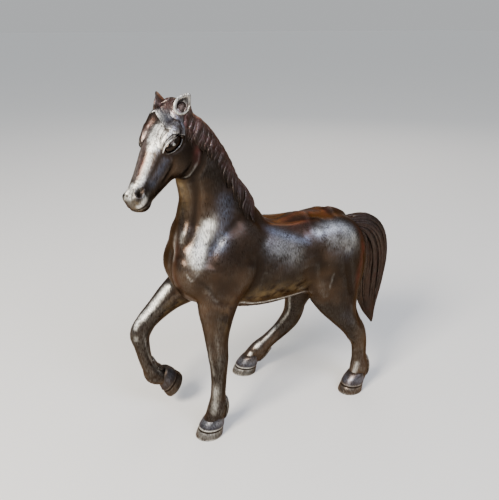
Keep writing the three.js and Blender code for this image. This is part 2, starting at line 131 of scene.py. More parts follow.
# The flesh: stations are [forward, left, up, half depth in the side view, half width].
flesh = {
    "trunk": [
        [47, 0, 113, 22, 20], [30, 0, 114, 29, 23.5], [8, 0, 113, 32.6, 26], [-14, 0, 112.5, 31, 26.5],
        [-32, 0, 113.5, 28.5, 25.5], [-44, 0, 112.5, 27, 24], [-50, 0, 111.5, 23.5, 22.5],
    ],
    "neck": [
        [36, 0, 126, 31, 19], [36.5, 0, 146, 27, 16.5], [40, 0, 162, 20.5, 13.5],
        [45.3, 0, 180, 17.8, 11.5],
        [52.3, -1, 196, 14.8, 10], [57, -1.5, 205, 10.5, 9],
    ],
    "left_fore": [
        [38.5, 15, 112, 17, 11], [44.8, 18, 96, 13.6, 10], [46.8, 20, 84, 10.2, 8.6],
        [47.6, 21, 72, 7.9, 7.2],
        [47.3, 22, 61, 6.9, 6.2], [47, 22, 55, 6.4, 5.8], [47.2, 22, 42, 5.4, 4.8],
        [48, 22, 29, 5.3, 4.8],
        [48.5, 22, 20, 7, 6], [51, 22, 13, 6.6, 6.2], [53, 22, 8, 7, 6.6],
    ],
    "right_fore": [
        [40, -15, 111, 17, 11], [50, -17, 99, 14.4, 10], [63.5, -18.5, 90, 10.4, 8.4],
        [73.5, -19.5, 81.5, 8, 7.2], [81.8, -20, 73.6, 7, 6.6], [87, -20, 65, 7, 6.4],
        [86.4, -20, 56, 5.6, 5.4],
        [84.8, -20, 45, 4.9, 4.8], [82, -20, 36, 5.4, 5.2], [79, -20, 29.8, 7.1, 6],
        [72.7, -20, 25.6, 6, 6], [69, -20, 22, 6.6, 6.4],
    ],
    "left_hind": [
        [-44, 11, 108, 26, 13], [-47.5, 13, 93, 22.8, 12.5], [-49.5, 16, 80, 17.3, 11],
        [-53, 19, 68, 11.6, 9],
        [-59.5, 21, 57, 8.7, 7.2], [-65, 22, 48, 7.7, 6.4], [-68.2, 22.5, 39, 6.2, 5.3],
        [-68.9, 23, 28, 5.8, 5],
        [-69.6, 23.5, 19, 7.5, 6], [-68.2, 24, 12.5, 7.1, 6.2], [-66, 24, 8, 7.2, 6.6],
    ],
    "right_hind": [
        [-44, -11, 108, 26, 13], [-45, -14, 92, 22, 12.5], [-41, -18, 77, 13.8, 11],
        [-38.8, -21.5, 62, 8.9, 8.6],
        [-38.5, -24.5, 50, 8.2, 7], [-36, -27, 41.5, 8, 6.4], [-30, -29.5, 33.2, 6.9, 5.4],
        [-20.2, -31.5, 24.8, 6.3, 5], [-12, -33, 17.5, 7.6, 6], [-6.5, -34, 12, 7, 6.2],
        [-3, -34, 8, 7, 6.6],
    ],
    # Along the head from the poll, towards its face, to its left, then the halves
    "head": [
        [3, -6, 0, 11.4, 9.6], [11, -6.4, 0, 14, 11], [21, -7, 0, 15, 10.8], [30.5, -6.6, 0, 12.8, 9.2],
        [40, -6.2, 0, 10.4, 7.6], [48.5, -5.6, 0, 8.6, 6.6], [53, -5.6, 0, 7.4, 6.8],
    ],
    # Rounded masses on both sides: [forward, left, up], half sizes, lean in the side view, blend
    "bodyMasses": [
        [(14.5, 2, 142.6), (10, 6, 7.2), -12, 7],      # withers
        [(31, 15.5, 121), (16, 8.5, 26), -22, 7],      # shoulder
        [(57, 11, 118.5), (13, 10.5, 16.5), 0, 5],     # breast
        [(57, 7.5, 133), (8, 7.5, 14), 12, 7],         # breast below the neck
        [(-47, 12.5, 118.5), (23, 12.5, 19.5), 0, 8],  # croup
        [(-55, 13.5, 102), (18.5, 10.5, 24), -6, 6],   # buttock
        [(-34.5, 15, 94), (8.4, 9, 10.4), 20, 5],      # stifle
    ],
    "headMasses": [
        [(17.8, -14, 6.4), (12, 12.5, 7), 3],          # cheek
        [(14.5, 3.4, 8), (9, 4, 4), 3],                # brow
        [(53.2, -1.2, 4), (4.2, 3, 2.6), 2.5],         # wing of the nostril
        [(53.5, -9.4, 1.6), (4.4, 4.2, 4), 2],         # chin
        [(-3.5, 1.4, 3.5), (8, 6.4, 6), 3],            # hair over the poll
    ],
    # Hair over the far temple, which the forelock doesn't cover
    "farHair": [(5.5, 4.2, -7.4), (8.5, 4.6, 4.6), 3],
    "blend": {"trunk": 0, "neck": 9, "leg": 5, "head": 3},
    "limbs": ["left_fore", "right_fore", "left_hind", "right_hind"],
}

# Muscles and creases of the flesh: a path over it, half width, and height (below nought a crease)
bodyStrokes = {
    "blade ridge": ([(17, 15, 143), (25, 20, 132), (34, 24, 120)], 3.6, 0.12),
    "belly seam": ([(24, 0, 83), (6, 0, 81.5), (-12, 0, 82), (-24, 0, 85)], 1.4, 0.5),
    "front of shoulder": ([(30, 12, 147), (40, 15, 139), (50, 17, 130), (57, 20, 121),
                           (61, 21, 113)], 3.2, -0.6),
    "behind elbow": ([(17, 24, 127), (19, 25.5, 113), (25, 24, 99), (31, 21, 91)], 2.6, -1.1),
    "breast midline": ([(71, 0, 133), (72, 0, 121), (70, 0, 109), (60, 0, 99)], 1.8, -1.2),
    "throat groove": ([(55, 9, 182), (54, 10.5, 168), (55, 11.5, 155), (58, 12, 143),
                       (63, 11, 133)], 2.6, -1.2),
    "windpipe": ([(60, 2, 178), (58.5, 3, 166), (60, 4, 154), (64, 4.5, 143)], 3.0, 0.5),
    "neck muscle": ([(43, 10, 190), (42, 12, 176), (43, 14, 162), (46, 16, 150)], 5.0, 0.6),
    "neck hollow": ([(32, 11, 176), (33, 13.5, 163), (37, 15.5, 151)], 3.8, -0.5),
    "withers": ([(18, 4, 147), (10, 5, 146), (2, 5, 144.5)], 4.0, 0.4),
    "hip bone": ([(-23, 17, 134), (-28, 18.5, 132), (-33, 19, 133)], 4.0, 0.45),
    "before hip": ([(-14, 17, 133), (-18, 20, 127), (-20, 24, 119)], 4.2, -0.5),
    "flank hollow": ([(-17, 25, 112), (-19, 25, 103), (-17, 23, 95)], 5.0, -1.0),
    "flank fold": ([(-13, 23, 96), (-19, 22, 91), (-26, 20, 85)], 2.2, 0.8),
    "front of thigh": ([(-24, 23, 115), (-27, 25, 103), (-31, 25, 92)], 3.4, 0.6),
    "thigh groove": ([(-46, 25, 120), (-50, 25.5, 107), (-53, 25, 94), (-55, 24, 82)], 2.6, -0.8),
    "buttock groove": ([(-62, 19, 122), (-66, 20, 108), (-66, 20, 95), (-62, 20, 82)], 2.2, -0.7),
    "stifle": ([(-31, 22, 93), (-33, 23, 88), (-36, 24, 84)], 3.0, 0.7),
    "top of the croup": ([(-28, -6, 140.5), (-38, -8, 139.6), (-47, -8, 138)], 10.0, -1.2),
    "back of the croup": ([(-47, 0, 139.5), (-54, 0, 137), (-62, 0, 131)], 6.0, 1.8),
    "dip of the back": ([(-7, 11, 142), (-8, 4, 144.5), (-8, -5, 144.5), (-7, -14, 140)], 14.0, -2.8),
    "hip line": ([(-26, 9.4, 140.8), (-32.1, 8.4, 140.6), (-35.4, 9.8, 140), (-37, 12.8, 139),
                  (-37.4, 15.6, 137.7)],
                 0.9, 0.35),
    "below hip line": ([(-26, 13.5, 138.6), (-30, 16.5, 136.4), (-34, 19, 134)], 2.0, -0.25),
    "rib line": ([(10, 26.5, 118), (4, 27, 108), (0, 25, 97)], 5.0, 0.4),
}

# Only above the standing foreleg, because the right one is raised
leftStrokes = {
    "point of shoulder": ([(50, 21, 124), (53, 21.5, 117), (54, 22, 111)], 5.0, 0.9),
    "upper arm muscle": ([(23, 24, 122), (29, 26, 112), (37, 26, 104)], 4.4, 0.8),
    "elbow fold": ([(55, 22, 116), (52, 22.8, 109), (49, 25, 103), (40, 26, 99),
                    (30, 25, 98)], 1.6, -0.3),
    "edge over elbow fold": ([(58, 21, 113), (55, 23, 106), (51, 25.5, 100), (42, 27, 96)], 1.4, 0.15),
    "crease before shoulder": ([(66, 18.5, 121), (64, 19.5, 118), (62.7, 20.2, 116.2)], 0.8, -0.5),
    "crease on shoulder": ([(62.7, 20.2, 116.2), (60, 21, 119), (57.7, 21.4, 121.3)], 0.8, -0.5),
    "breast fold": ([(66.6, 8, 130), (64.2, 17, 128), (62, 20, 118)], 1.8, -0.5),
}

# The same on the head, with places along it from the poll, towards its face and to its left
headStrokes = {
    "face crest": ([(24, -3.5, 10.8), (31, -5.8, 9.4), (38, -6.8, 8.0)], 1.3, 0.55),
    "under face crest": ([(26, -7.5, 10.8), (32, -9, 9), (39, -9, 7.6)], 1.6, -0.4),
    "edge of nose": ([(25, 4.2, 6.2), (33, 1.8, 5.6), (42, 0.2, 4.8), (49, -0.2, 4.4)], 1.2, 0.4),
    "beside nose": ([(28, -0.6, 8.6), (36, -2.4, 7.2), (45, -3.4, 6.3)], 1.6, -0.55),
    "forehead furrow": ([(8, 7.8, 0), (15, 8.4, 0), (22, 7.8, 0)], 1.3, -0.25),
    "jaw edge": ([(11, -17, 15.5), (16, -19.4, 14.5), (20, -21, 13), (24, -22.4, 10.5), (28, -20, 8),
                  (32, -14, 8)],
                 1.0, 0.55),
    "inside jaw edge": ([(11, -14, 14), (16, -16.6, 13.6), (21, -18.4, 12), (26, -17, 9.5)], 1.2, -0.35),
    "behind jaw": ([(-2, -9, 12.5), (4, -14, 15), (10, -18.5, 17), (15.5, -22, 16.5), (21, -24.5, 14),
                    (26, -26, 10)],
                   1.8, -1.2),
    "above eye": ([(9, 3, 9.4), (14, 5.4, 8.9), (20, 6, 8), (25, 4.6, 7)], 1.3, 0.55),
    "temple": ([(3, 0, 10), (8, 1.2, 10.3), (11, 2.4, 10)], 1.8, -0.7),
    "under eye": ([(12, -5.6, 11.6), (18, -4.6, 11.8), (24, -1.6, 10.6)], 0.8, -0.45),
    "mouth": ([(50, -8.6, 6.6), (54, -7.6, 6.9), (58, -6.6, 5.4), (60.5, -5.6, 2.4),
               (61, -5.4, -0.5)], 0.6, -0.85),
    "corner of mouth": ([(48.5, -9.6, 6.6), (50.5, -9.8, 6.4), (52.5, -9.6, 6)], 0.9, 0.3),
    "lip": ([(52, -10.8, 6), (56, -10, 5.2), (59, -9, 2.6)], 0.7, -0.25),
    "nostril rim": ([(49.6, 1.4, 3.6), (52, 3, 2.6), (55, 2, 2.6), (57, 0, 3.4)], 0.8, 0.25),
    "nostril fold": ([(48.4, -0.4, 5.6), (50, -2.6, 6.4), (54, -3, 6.4)], 0.8, 0.25),
    "forehead line": ([(11, 7.6, 3), (15, 7.4, 2.6), (20, 6.6, 3.2)], 0.5, -0.3),
    "line over eye": ([(12, 6.4, 6.6), (16.4, 6.6, 5.6), (21, 5.4, 5.6)], 0.5, -0.35),
}

# Pits and swellings: centre, half sizes along the given axes, depth
headDents = {
    "nostril": ((51.8, 0.4, 4.8), (3.6, 2.2, 3.6), -3.6),
    "eye socket": ((18, 0.6, 10.8), (7.2, 3.7, 4), -1.8),
}

# Tendons and joints along the limbs: stations are counted down the limb, then towards the front
# and outwards as shares of its halves.
limbStrokes = {
    "both": [
        ([(7.7, 0.6, 0.8), (8, 0.2, 1), (8.2, -0.4, 1)], 1.6, 0.45),
        ([(8.6, 1, 0), (8.7, 0.5, 0.8), (8.8, -0.2, 1)], 1.0, -0.5),
    ],
    "fore": [
        ([(1.2, 0.2, 1), (2.4, 0.3, 1), (3.4, 0.35, 1)], 2.0, 0.5),
        ([(1.4, -0.5, 0.9), (2.6, -0.45, 0.9), (3.6, -0.4, 0.9)], 1.5, -0.5),
        ([(4, 0.9, 0.5), (4.5, 1, 0), (5, 0.9, 0.5)], 2.4, 0.35),
        ([(5.3, -0.45, 0.95), (6.2, -0.4, 1), (7, -0.4, 1), (7.5, -0.5, 0.9)], 1.0, -0.65),
        ([(5.3, -0.45, -0.95), (6.2, -0.4, -1), (7, -0.4, -1), (7.5, -0.5, -0.9)], 1.0, -0.65),
        ([(4.2, -1, 0.2), (4.6, -1.1, 0), (5, -1, -0.2)], 1.6, 0.5),
    ],
    "hind": [
        ([(2.3, -0.3, 1), (3.3, -0.1, 1), (4, 0, 1)], 2.2, 0.5),
        ([(2.6, -0.75, 0.6), (3.6, -0.6, 0.75), (4.5, -0.5, 0.85)], 1.4, -0.8),
        ([(2.6, -0.75, -0.6), (3.6, -0.6, -0.75), (4.5, -0.5, -0.85)], 1.4, -0.8),
        ([(4.3, -1.05, 0), (4.8, -1.15, 0), (5.2, -1.05, 0)], 1.8, 0.6),
        ([(4.8, 0.8, 0.6), (5.1, 0.9, 0), (5.4, 0.8, 0.6)], 2.0, 0.3),
        ([(5.6, -0.45, 0.95), (6.4, -0.4, 1), (7.2, -0.4, 1), (7.7, -0.5, 0.9)], 1.0, -0.65),
        ([(5.6, -0.45, -0.95), (6.4, -0.4, -1), (7.2, -0.4, -1), (7.7, -0.5, -0.9)], 1.0, -0.65),
    ],
}


# How far points lie outside a tube with elliptical sections, wide along the side direction
def tubeForm(stations, blend, side=(0, 1, 0)):
    rows = smoothLine(stations)
    side = np.array(side, float)
    margin = rows[:, 3:].max() + model["nearby"]

    def distance(points):
        nearest = np.full(len(points), float(model["farOutside"]))
        for start, end in zip(rows[:-1], rows[1:]):
            low = np.minimum(start[:3], end[:3]) - margin
            high = np.maximum(start[:3], end[:3]) + margin
            close = np.nonzero(((points > low) & (points < high)).all(axis=1))[0]
            run = end[:3] - start[:3]
            gap = points[close] - start[:3]
            t = np.clip(gap @ run / (run @ run), 0, 1)
            off = gap - t[:, None] * run
            across = off @ side
            length = np.linalg.norm(off, axis=1) + 1e-6
            inPlane = np.sqrt(np.maximum(length ** 2 - across ** 2, 0))
            deep = start[3] + t * (end[3] - start[3])
            wide = start[4] + t * (end[4] - start[4])
            ratio = np.hypot(inPlane / deep, across / wide) + 1e-9
            nearest[close] = np.minimum(nearest[close], length - length / ratio)
        return nearest

    return distance, rows[:, :3].min(axis=0) - margin, rows[:, :3].max(axis=0) + margin, blend


# How far points lie outside an ellipsoid, whose own directions are the columns of its turn
def massForm(at, half, turn, blend):
    margin = max(half) + model["nearby"]
    centre = np.array(at, float)

    def distance(points):
        gap = points - centre
        length = np.linalg.norm(gap, axis=1) + 1e-6
        ratio = np.linalg.norm(gap @ turn / np.array(half), axis=1) + 1e-9
        return length - length / ratio

    return distance, centre - margin, centre + margin, blend


def leaningTurn(lean):
    c = math.cos(math.radians(lean))
    s = math.sin(math.radians(lean))
    return np.array([(c, 0, s), (0, 1, 0), (-s, 0, c)])


# The rounded masses on both sides: place, half sizes, turn and blend
def allMasses():
    masses = []
    for side in (1, -1):
        for (forward, left, up), half, lean, blend in flesh["bodyMasses"]:
            masses.append(((forward, left * side, up), half, leaningTurn(lean), blend))
        for (along, face, left), half, blend in flesh["headMasses"]:
            masses.append((onHead(along, face, left * side), half, headTurn, blend))
    at, half, blend = flesh["farHair"]
    return masses + [(onHead(*at), half, headTurn, blend)]


def fleshForms():
    blend = flesh["blend"]
    forms = [tubeForm(flesh["trunk"], blend["trunk"]), tubeForm(flesh["neck"], blend["neck"])]
    forms += [tubeForm(flesh[limb], blend["leg"]) for limb in flesh["limbs"]]
    forms.append(tubeForm(headStations(flesh["head"]), blend["head"], headLeft))
    return forms + [massForm(*mass) for mass in allMasses()]


forms = fleshForms()


# How far points lie outside the whole flesh, all its forms melted together
def outsideFlesh(points):
    result = np.full(len(points), float(model["farOutside"]))
    for distance, low, high, blend in forms:
        close = np.nonzero(((points > low) & (points < high)).all(axis=1))[0]
        if not len(close):
            continue
        found = distance(points[close])
        before = result[close]
        result[close] = np.minimum(before, found)
        if blend:
            soft = np.maximum(blend - np.abs(before - found), 0)
            result[close] -= soft ** 2 / (4 * blend)
    return result


# Moves points straight onto the skin, and gives the way out of it there.
def toSkin(points, tries=2):
    points = np.array(points, float)
    reach = 0.2
    leastSteep = 0.1
    for _ in range(tries):
        here = outsideFlesh(points)
        ahead = [outsideFlesh(points + reach * axis) for axis in np.eye(3)]
        slope = (np.stack(ahead, axis=1) - here[:, None]) / reach
        steep = np.maximum((slope ** 2).sum(axis=1), leastSteep)
        points = points - (here / steep)[:, None] * slope
    return points, slope / np.linalg.norm(slope, axis=1)[:, None]


# Smooth paths laid onto the skin, all in one go
def laidOnSkin(paths, steps):
    curves = [smoothLine(path, steps) for path in paths]
    points, outs = toSkin(np.concatenate(curves), 3)
    ends = np.cumsum([len(curve) for curve in curves])[:-1]
    return list(zip(np.split(points, ends), np.split(outs, ends)))


# Draws a new ring of vertices out of the edges of the last one.
def nextRing(bm, edges):
    grown = bmesh.ops.extrude_edge_only(bm, edges=edges)["geom"]
    ring = [item for item in grown if isinstance(item, bmesh.types.BMVert)]
    inRing = set(ring)
    edges = [item for item in grown
             if isinstance(item, bmesh.types.BMEdge) and inRing.issuperset(item.verts)]
    return ring, edges


# Rings that still lie on the unit circle, each drawn out of the one before, and the edges at both ends.
# Every second vertex lies deeper where ridges are asked for.
def stackedRings(bm, count, sides, ridge=0.0):
    ring = bmesh.ops.create_circle(bm, segments=sides, radius=1)["verts"]
    for vert in ring[1::2]:
        vert.co *= 1 - ridge
    first = list(dict.fromkeys(edge for vert in ring for edge in vert.link_edges))
    rings = [ring]
    last = first
    for _ in range(count - 1):
        ring, last = nextRing(bm, last)
        rings.append(ring)
    return rings, first, last


# Lofts rings along stations [x, y, z, deep, wide] and closes both ends. The deep halves stand at
# right angles to the wideways direction.
def loftAlong(bm, rows, wideways, sides=20, ridge=0.0):
    rows = np.array(rows, float)
    wideways = np.broadcast_to(np.array(wideways, float), (len(rows), 3))
    rings, first, last = stackedRings(bm, len(rows), sides, ridge)
    for i, (ring, row) in enumerate(zip(rings, rows)):
        run = unit(rows[min(i + 1, len(rows) - 1)][:3] - rows[max(i - 1, 0)][:3])
        across = unit(wideways[i] - run * (run @ wideways[i]))
        depth = np.cross(across, run)
        place = Matrix(np.column_stack([depth * row[3], across * row[4], run]).tolist()).to_4x4()
        place.translation = Vector(row[:3])
        bmesh.ops.transform(bm, matrix=place, verts=ring)
    for edges in (first, last):
        bmesh.ops.holes_fill(bm, edges=edges, sides=sides)


# Lofts a lock of hair along a path, with its halves given all along it.
def loftLock(bm, points, outs, lift, halfThick, halfWidth, sides, ridge):
    last = len(points) - 1
    runs = [unit(points[min(i + 1, last)] - points[max(i - 1, 0)]) for i in range(last + 1)]
    rows = np.column_stack([points + outs * lift, halfThick, halfWidth])
    loftAlong(bm, rows, np.cross(runs, outs), sides, ridge)


# A lock along a path on the skin: blunt where it starts, running out to a point
def addLock(bm, points, outs, halfWidth, halfThick, lift, blunt=0.25, ridge=0.12):
    share = blunt + (1 - blunt) * np.linspace(0, 1, len(points))
    taper = np.sin(math.pi * np.minimum(share, 0.985))
    loftLock(bm, points, outs, lift, halfThick * np.sqrt(taper), halfWidth * taper, 12, ridge)


def newPiece(name, bm):
    bmesh.ops.recalc_face_normals(bm, faces=bm.faces)
    mesh = bpy.data.meshes.new(name)
    bm.to_mesh(mesh)
    bm.free()
    piece = bpy.data.objects.new(name, mesh)
    bpy.context.scene.collection.objects.link(piece)
    return piece


def pointsOf(mesh):
    flat = np.empty(len(mesh.vertices) * 3)
    mesh.vertices.foreach_get("co", flat)
    return flat.reshape(-1, 3)


def setPoints(mesh, points):
    mesh.vertices.foreach_set("co", np.asarray(points, float).ravel())
    mesh.update()


# Applies what modifiers a piece has.
def applied(piece):
    graph = bpy.context.evaluated_depsgraph_get()
    mesh = bpy.data.meshes.new_from_object(piece.evaluated_get(graph))
    old = piece.data
    piece.modifiers.clear()
    piece.data = mesh
    bpy.data.meshes.remove(old)
    mesh.name = piece.name
    return piece


# Keeps shares of a tint on a piece, for its material to read.
def tint(mesh, **shares):
    for name, share in shares.items():
        attribute = mesh.attributes.new(name, "FLOAT", "POINT")
        values = np.broadcast_to(np.array(share, float), (len(mesh.vertices),))
        attribute.data.foreach_set("value", np.ascontiguousarray(values))


# How much of the way from one number to another values have gone, from 0 to 1
def between(values, none, full):
    return np.clip((values - none) / (full - none), 0, 1)


# For each vertex, the sum of what its neighbours have, and how many they are
def aroundEach(mesh, values):
    ends = np.empty(len(mesh.edges) * 2, np.int64)
    mesh.edges.foreach_get("vertices", ends)
    a, b = ends.reshape(-1, 2).T
    size = len(values)
    count = np.bincount(a, minlength=size) + np.bincount(b, minlength=size)
    total = [np.bincount(a, column[b], size) + np.bincount(b, column[a], size) for column in values.T]
    return np.stack(total, axis=1), count[:, None]


# Evens out a skin: each vertex goes towards the middle of its neighbours and back onto the flesh.
def relax(mesh, rounds, share):
    points = pointsOf(mesh)
    for _ in range(rounds):
        total, count = aroundEach(mesh, points)
        points, _ = toSkin(points + share * (total / count - points), 1)
    setPoints(mesh, points)


# Shares what neighbouring vertices have, so that close ones move alike where the skin folds.
def evened(mesh, values, rounds):
    for _ in range(rounds):
        total, count = aroundEach(mesh, values)
        values = (values + total) / (count + 1)
    return values


strokeLook = {
    "reach": 2.6,        # how far a stroke is felt, in half widths
    "endFade": 5,        # a fifth of its length fades at each end
    "endShare": 0.15,    # what is left of it at its very ends
}


# How much strokes raise the skin at each point. A stroke fades out towards both its ends.
def strokeHeight(points, strokes):
    height = np.zeros(len(points))
    laid = laidOnSkin([path for path, _, _ in strokes], 5)
    for (rows, _), (_, halfWidth, rise) in zip(laid, strokes):
        low = rows.min(axis=0) - strokeLook["reach"] * halfWidth
        high = rows.max(axis=0) + strokeLook["reach"] * halfWidth
        close = np.nonzero(((points > low) & (points < high)).all(axis=1))[0]
        nearest = np.full(len(close), np.inf)
        share = np.zeros(len(close))
        for i, (start, end) in enumerate(zip(rows[:-1], rows[1:])):
            run = end - start
            gap = points[close] - start
            t = np.clip(gap @ run / (run @ run), 0, 1)
            away = ((gap - t[:, None] * run) ** 2).sum(axis=1)
            nearer = away < nearest
            nearest[nearer] = away[nearer]
            share[nearer] = (i + t[nearer]) / (len(rows) - 1)
        fade = np.minimum(share, 1 - share) * strokeLook["endFade"] + strokeLook["endShare"]
        fade = np.clip(fade, 0, 1)
        height[close] += rise * fade * np.exp(-nearest / halfWidth ** 2)
    return height


def allStrokes():
    strokes = list(leftStrokes.values())
    for side in (1, -1):
        for path, halfWidth, rise in bodyStrokes.values():
            strokes.append(([(f, l * side, u) for f, l, u in path], halfWidth, rise))
        for path, halfWidth, rise in headStrokes.values():
            strokes.append((pathOnHead(path, side), halfWidth, rise))
    for limb in flesh["limbs"]:
        rows = np.array(flesh[limb], float)
        kind = "fore" if limb.endswith("fore") else "hind"
        for path, halfWidth, rise in limbStrokes[kind] + limbStrokes["both"]:
            strokes.append(([onLimb(rows, *place) for place in path], halfWidth, rise))
    return strokes


# A place on a limb: how many stations down, then its front (1) or back (-1), and its left or right
def onLimb(rows, down, front, left):
    index = min(int(down), len(rows) - 2)
    row = rows[index] + (down - index) * (rows[index + 1] - rows[index])
    run = unit(rows[index + 1][:3] - rows[index][:3])
    ahead = unit(np.cross((0, 1, 0), run))
    ahead = ahead if ahead[0] > 0 else -ahead
    return row[:3] + ahead * row[3] * front + np.array([0, row[4] * left, 0])


def dentHeight(points):
    height = np.zeros(len(points))
    for side in (1, -1):
        for (along, face, left), half, depth in headDents.values():
            gap = (points - onHead(along, face, left * side)) @ headTurn / np.array(half)
            inside = np.clip(1 - (gap ** 2).sum(axis=1), 0, 1)
            height += depth * inside ** 1.5
    return height


casting = {
    "steps": 3,          # between two stations of the flesh
    "voxel": 1.3,
    # finer faces within these boxes: from and to along the head, towards its face, and to either side
    "head": [((-6, 99), (-24, 99), (-1, 16))],
    "eyesAndMuzzle": [((9, 27), (-6.5, 6), (6, 99)), ((47, 99), (-12.5, 99), (-1, 99))],
}


# Halves the faces whose middle lies in one of some boxes on the head.
def refine(mesh, boxes):
    bm = bmesh.new()
    bm.from_mesh(mesh)
    middles = onFace(np.array([face.calc_center_median() for face in bm.faces]))
    middles[:, 2] = np.abs(middles[:, 2])
    chosen = np.zeros(len(middles), bool)
    for box in boxes:
        low, high = np.array(box).T
        chosen |= ((middles > low) & (middles < high)).all(axis=1)
    edges = dict.fromkeys(edge for face, take in zip(bm.faces, chosen) if take for edge in face.edges)
    bmesh.ops.subdivide_edges(bm, edges=list(edges), cuts=1, use_grid_fill=True)
    bm.to_mesh(mesh)
    bm.free()


def onFace(points):
    return (points - np.array(model["poll"])) @ headTurn


def roundOff(bm, at, half, turn):
    place = Matrix.Translation(at) @ Matrix(turn.tolist()).to_4x4() @ Matrix.Diagonal((*half, 1))
    bmesh.ops.create_icosphere(bm, subdivisions=3, radius=1, matrix=place)


def castSkin():
    bm = bmesh.new()
    for part in ["trunk", "neck", *flesh["limbs"]]:
        loftAlong(bm, smoothLine(flesh[part], casting["steps"]), (0, 1, 0))
        for x, y, z, deep, wide in (flesh[part][0], flesh[part][-1]):
            roundOff(bm, (x, y, z), (deep, wide, deep), np.eye(3))
    loftAlong(bm, headStations(smoothLine(flesh["head"], casting["steps"])), headLeft)
    for along, face, left, deep, wide in (flesh["head"][0], flesh["head"][-1]):
        roundOff(bm, onHead(along, face, left), (deep, deep, wide), headTurn)
    for at, half, turn, _ in allMasses():
        roundOff(bm, at, half, turn)
    piece = newPiece("horse_casting", bm)
    remesh = piece.modifiers.new("even skin", "REMESH")
    remesh.mode = "VOXEL"
    remesh.voxel_size = casting["voxel"]
    applied(piece)
    relax(piece.data, 4, 0.6)
    refine(piece.data, casting["head"])
    relax(piece.data, 2, 0.4)
    refine(piece.data, casting["eyesAndMuzzle"])
    points, outs = toSkin(pointsOf(piece.data), 2)
    outs = evened(piece.data, outs, 4)
    rise = strokeHeight(points, allStrokes()) + dentHeight(points)
    setPoints(piece.data, evened(piece.data, points + outs * rise[:, None], 1))
    print("skin:", len(piece.data.polygons), "faces")
    return piece


eyeParts = {
    "ball": {"at": (18.2, 0.2, 10.6), "half": (6.6, 3.7, 3.2), "sunk": 0.75},
    # along, face, left; then half thickness, lift, and how bright its painted highlight is from its
    # inner end on
    "lids": {
        "upper": ([(26, 2, 8.2), (22.6, 4, 9.4), (17.4, 3.7, 10.4), (12.8, 0.6, 11), (10.4, -3.2, 10.8)],
                  0.62, -0.1, (1, 1, 0.5, 0.15, 0.2)),
        "lower": ([(26, 1.6, 8.2), (24, -1, 9.6), (20.4, -2.9, 10.6), (15, -4.2, 11),
                   (10.4, -3.4, 10.8)],
                  0.26, -0.1, (0.1, 0.25, 0.5, 0.65, 0.3)),
        "fold": ([(25, 5.4, 8.2), (20.8, 6.2, 8.8), (14.8, 5.6, 9.8), (10.6, 2.2, 10.6),
                  (8, -1.8, 10.8)],
                 0.3, -0.16, (0.9, 0.9, 0.8, 0.4, 0.2)),
    },
    "lidSides": 20,
    "farSideLit": 0.2,
    "glint": ((19.4, 2.6, 13), 0.55, 1.3),    # a painted highlight on each ball: place, size and strength
}


def makeEyeball(side):
    bm = bmesh.new()
    ball = eyeParts["ball"]
    lid = eyeParts["lids"]["upper"][0]
    (centre, inner, outer), outs = toSkin(pathOnHead((ball["at"], lid[0], lid[-1]), side), 3)
    length = unit(inner - outer - outs[0] * ((inner - outer) @ outs[0]))
    half = ball["half"]
    turn = np.column_stack([length * half[0], np.cross(outs[0], length) * half[1], outs[0] * half[2]])
    place = Matrix.Translation(centre - outs[0] * ball["sunk"]) @ Matrix(turn.tolist()).to_4x4()
    bmesh.ops.create_uvsphere(bm, u_segments=48, v_segments=32, radius=1, matrix=place)
    piece = newPiece(sideName(side, "eyeball"), bm)
    points = pointsOf(piece.data)
    (along, face, left), size, strength = eyeParts["glint"]
    spot = points[np.argmin(np.linalg.norm(points - onHead(along, face, left * side), axis=1))]
    glint = between(np.linalg.norm(points - spot, axis=1), 2 * size, size)
    # painted highlight: a small glint on the ball, the rest of it darkened with the shadow tint
    tint(piece.data, shadow=1 - glint, rubbed=strength * glint)
    return piece


def makeLids(side):
    bm = bmesh.new()
    lids = list(eyeParts["lids"].values())
    laid = laidOnSkin([pathOnHead(path, side) for path, _, _, _ in lids], 6)
    bright = []
    facing = 1 if side > 0 else eyeParts["farSideLit"]
    for (points, outs), (_, half, lift, lit) in zip(laid, lids):
        bow = half * np.sin(math.pi * np.linspace(0.04, 0.96, len(points))) ** 0.6
        rows = np.column_stack([points + outs * lift, bow * 0.9, bow])
        loftAlong(bm, rows, np.cross(np.gradient(points, axis=0), outs), eyeParts["lidSides"])
        lit = np.interp(np.linspace(0, 1, len(points)), np.linspace(0, 1, len(lit)), lit)
        bright += list(np.repeat(lit * facing, eyeParts["lidSides"]))
    piece = newPiece(sideName(side, "eyelids"), bm)
    # painted highlight along the lids, weaker on the far eye, with painted shade where it is weak
    tint(piece.data, rubbed=bright, shadow=0.5 - 0.5 * np.array(bright))
    return piece


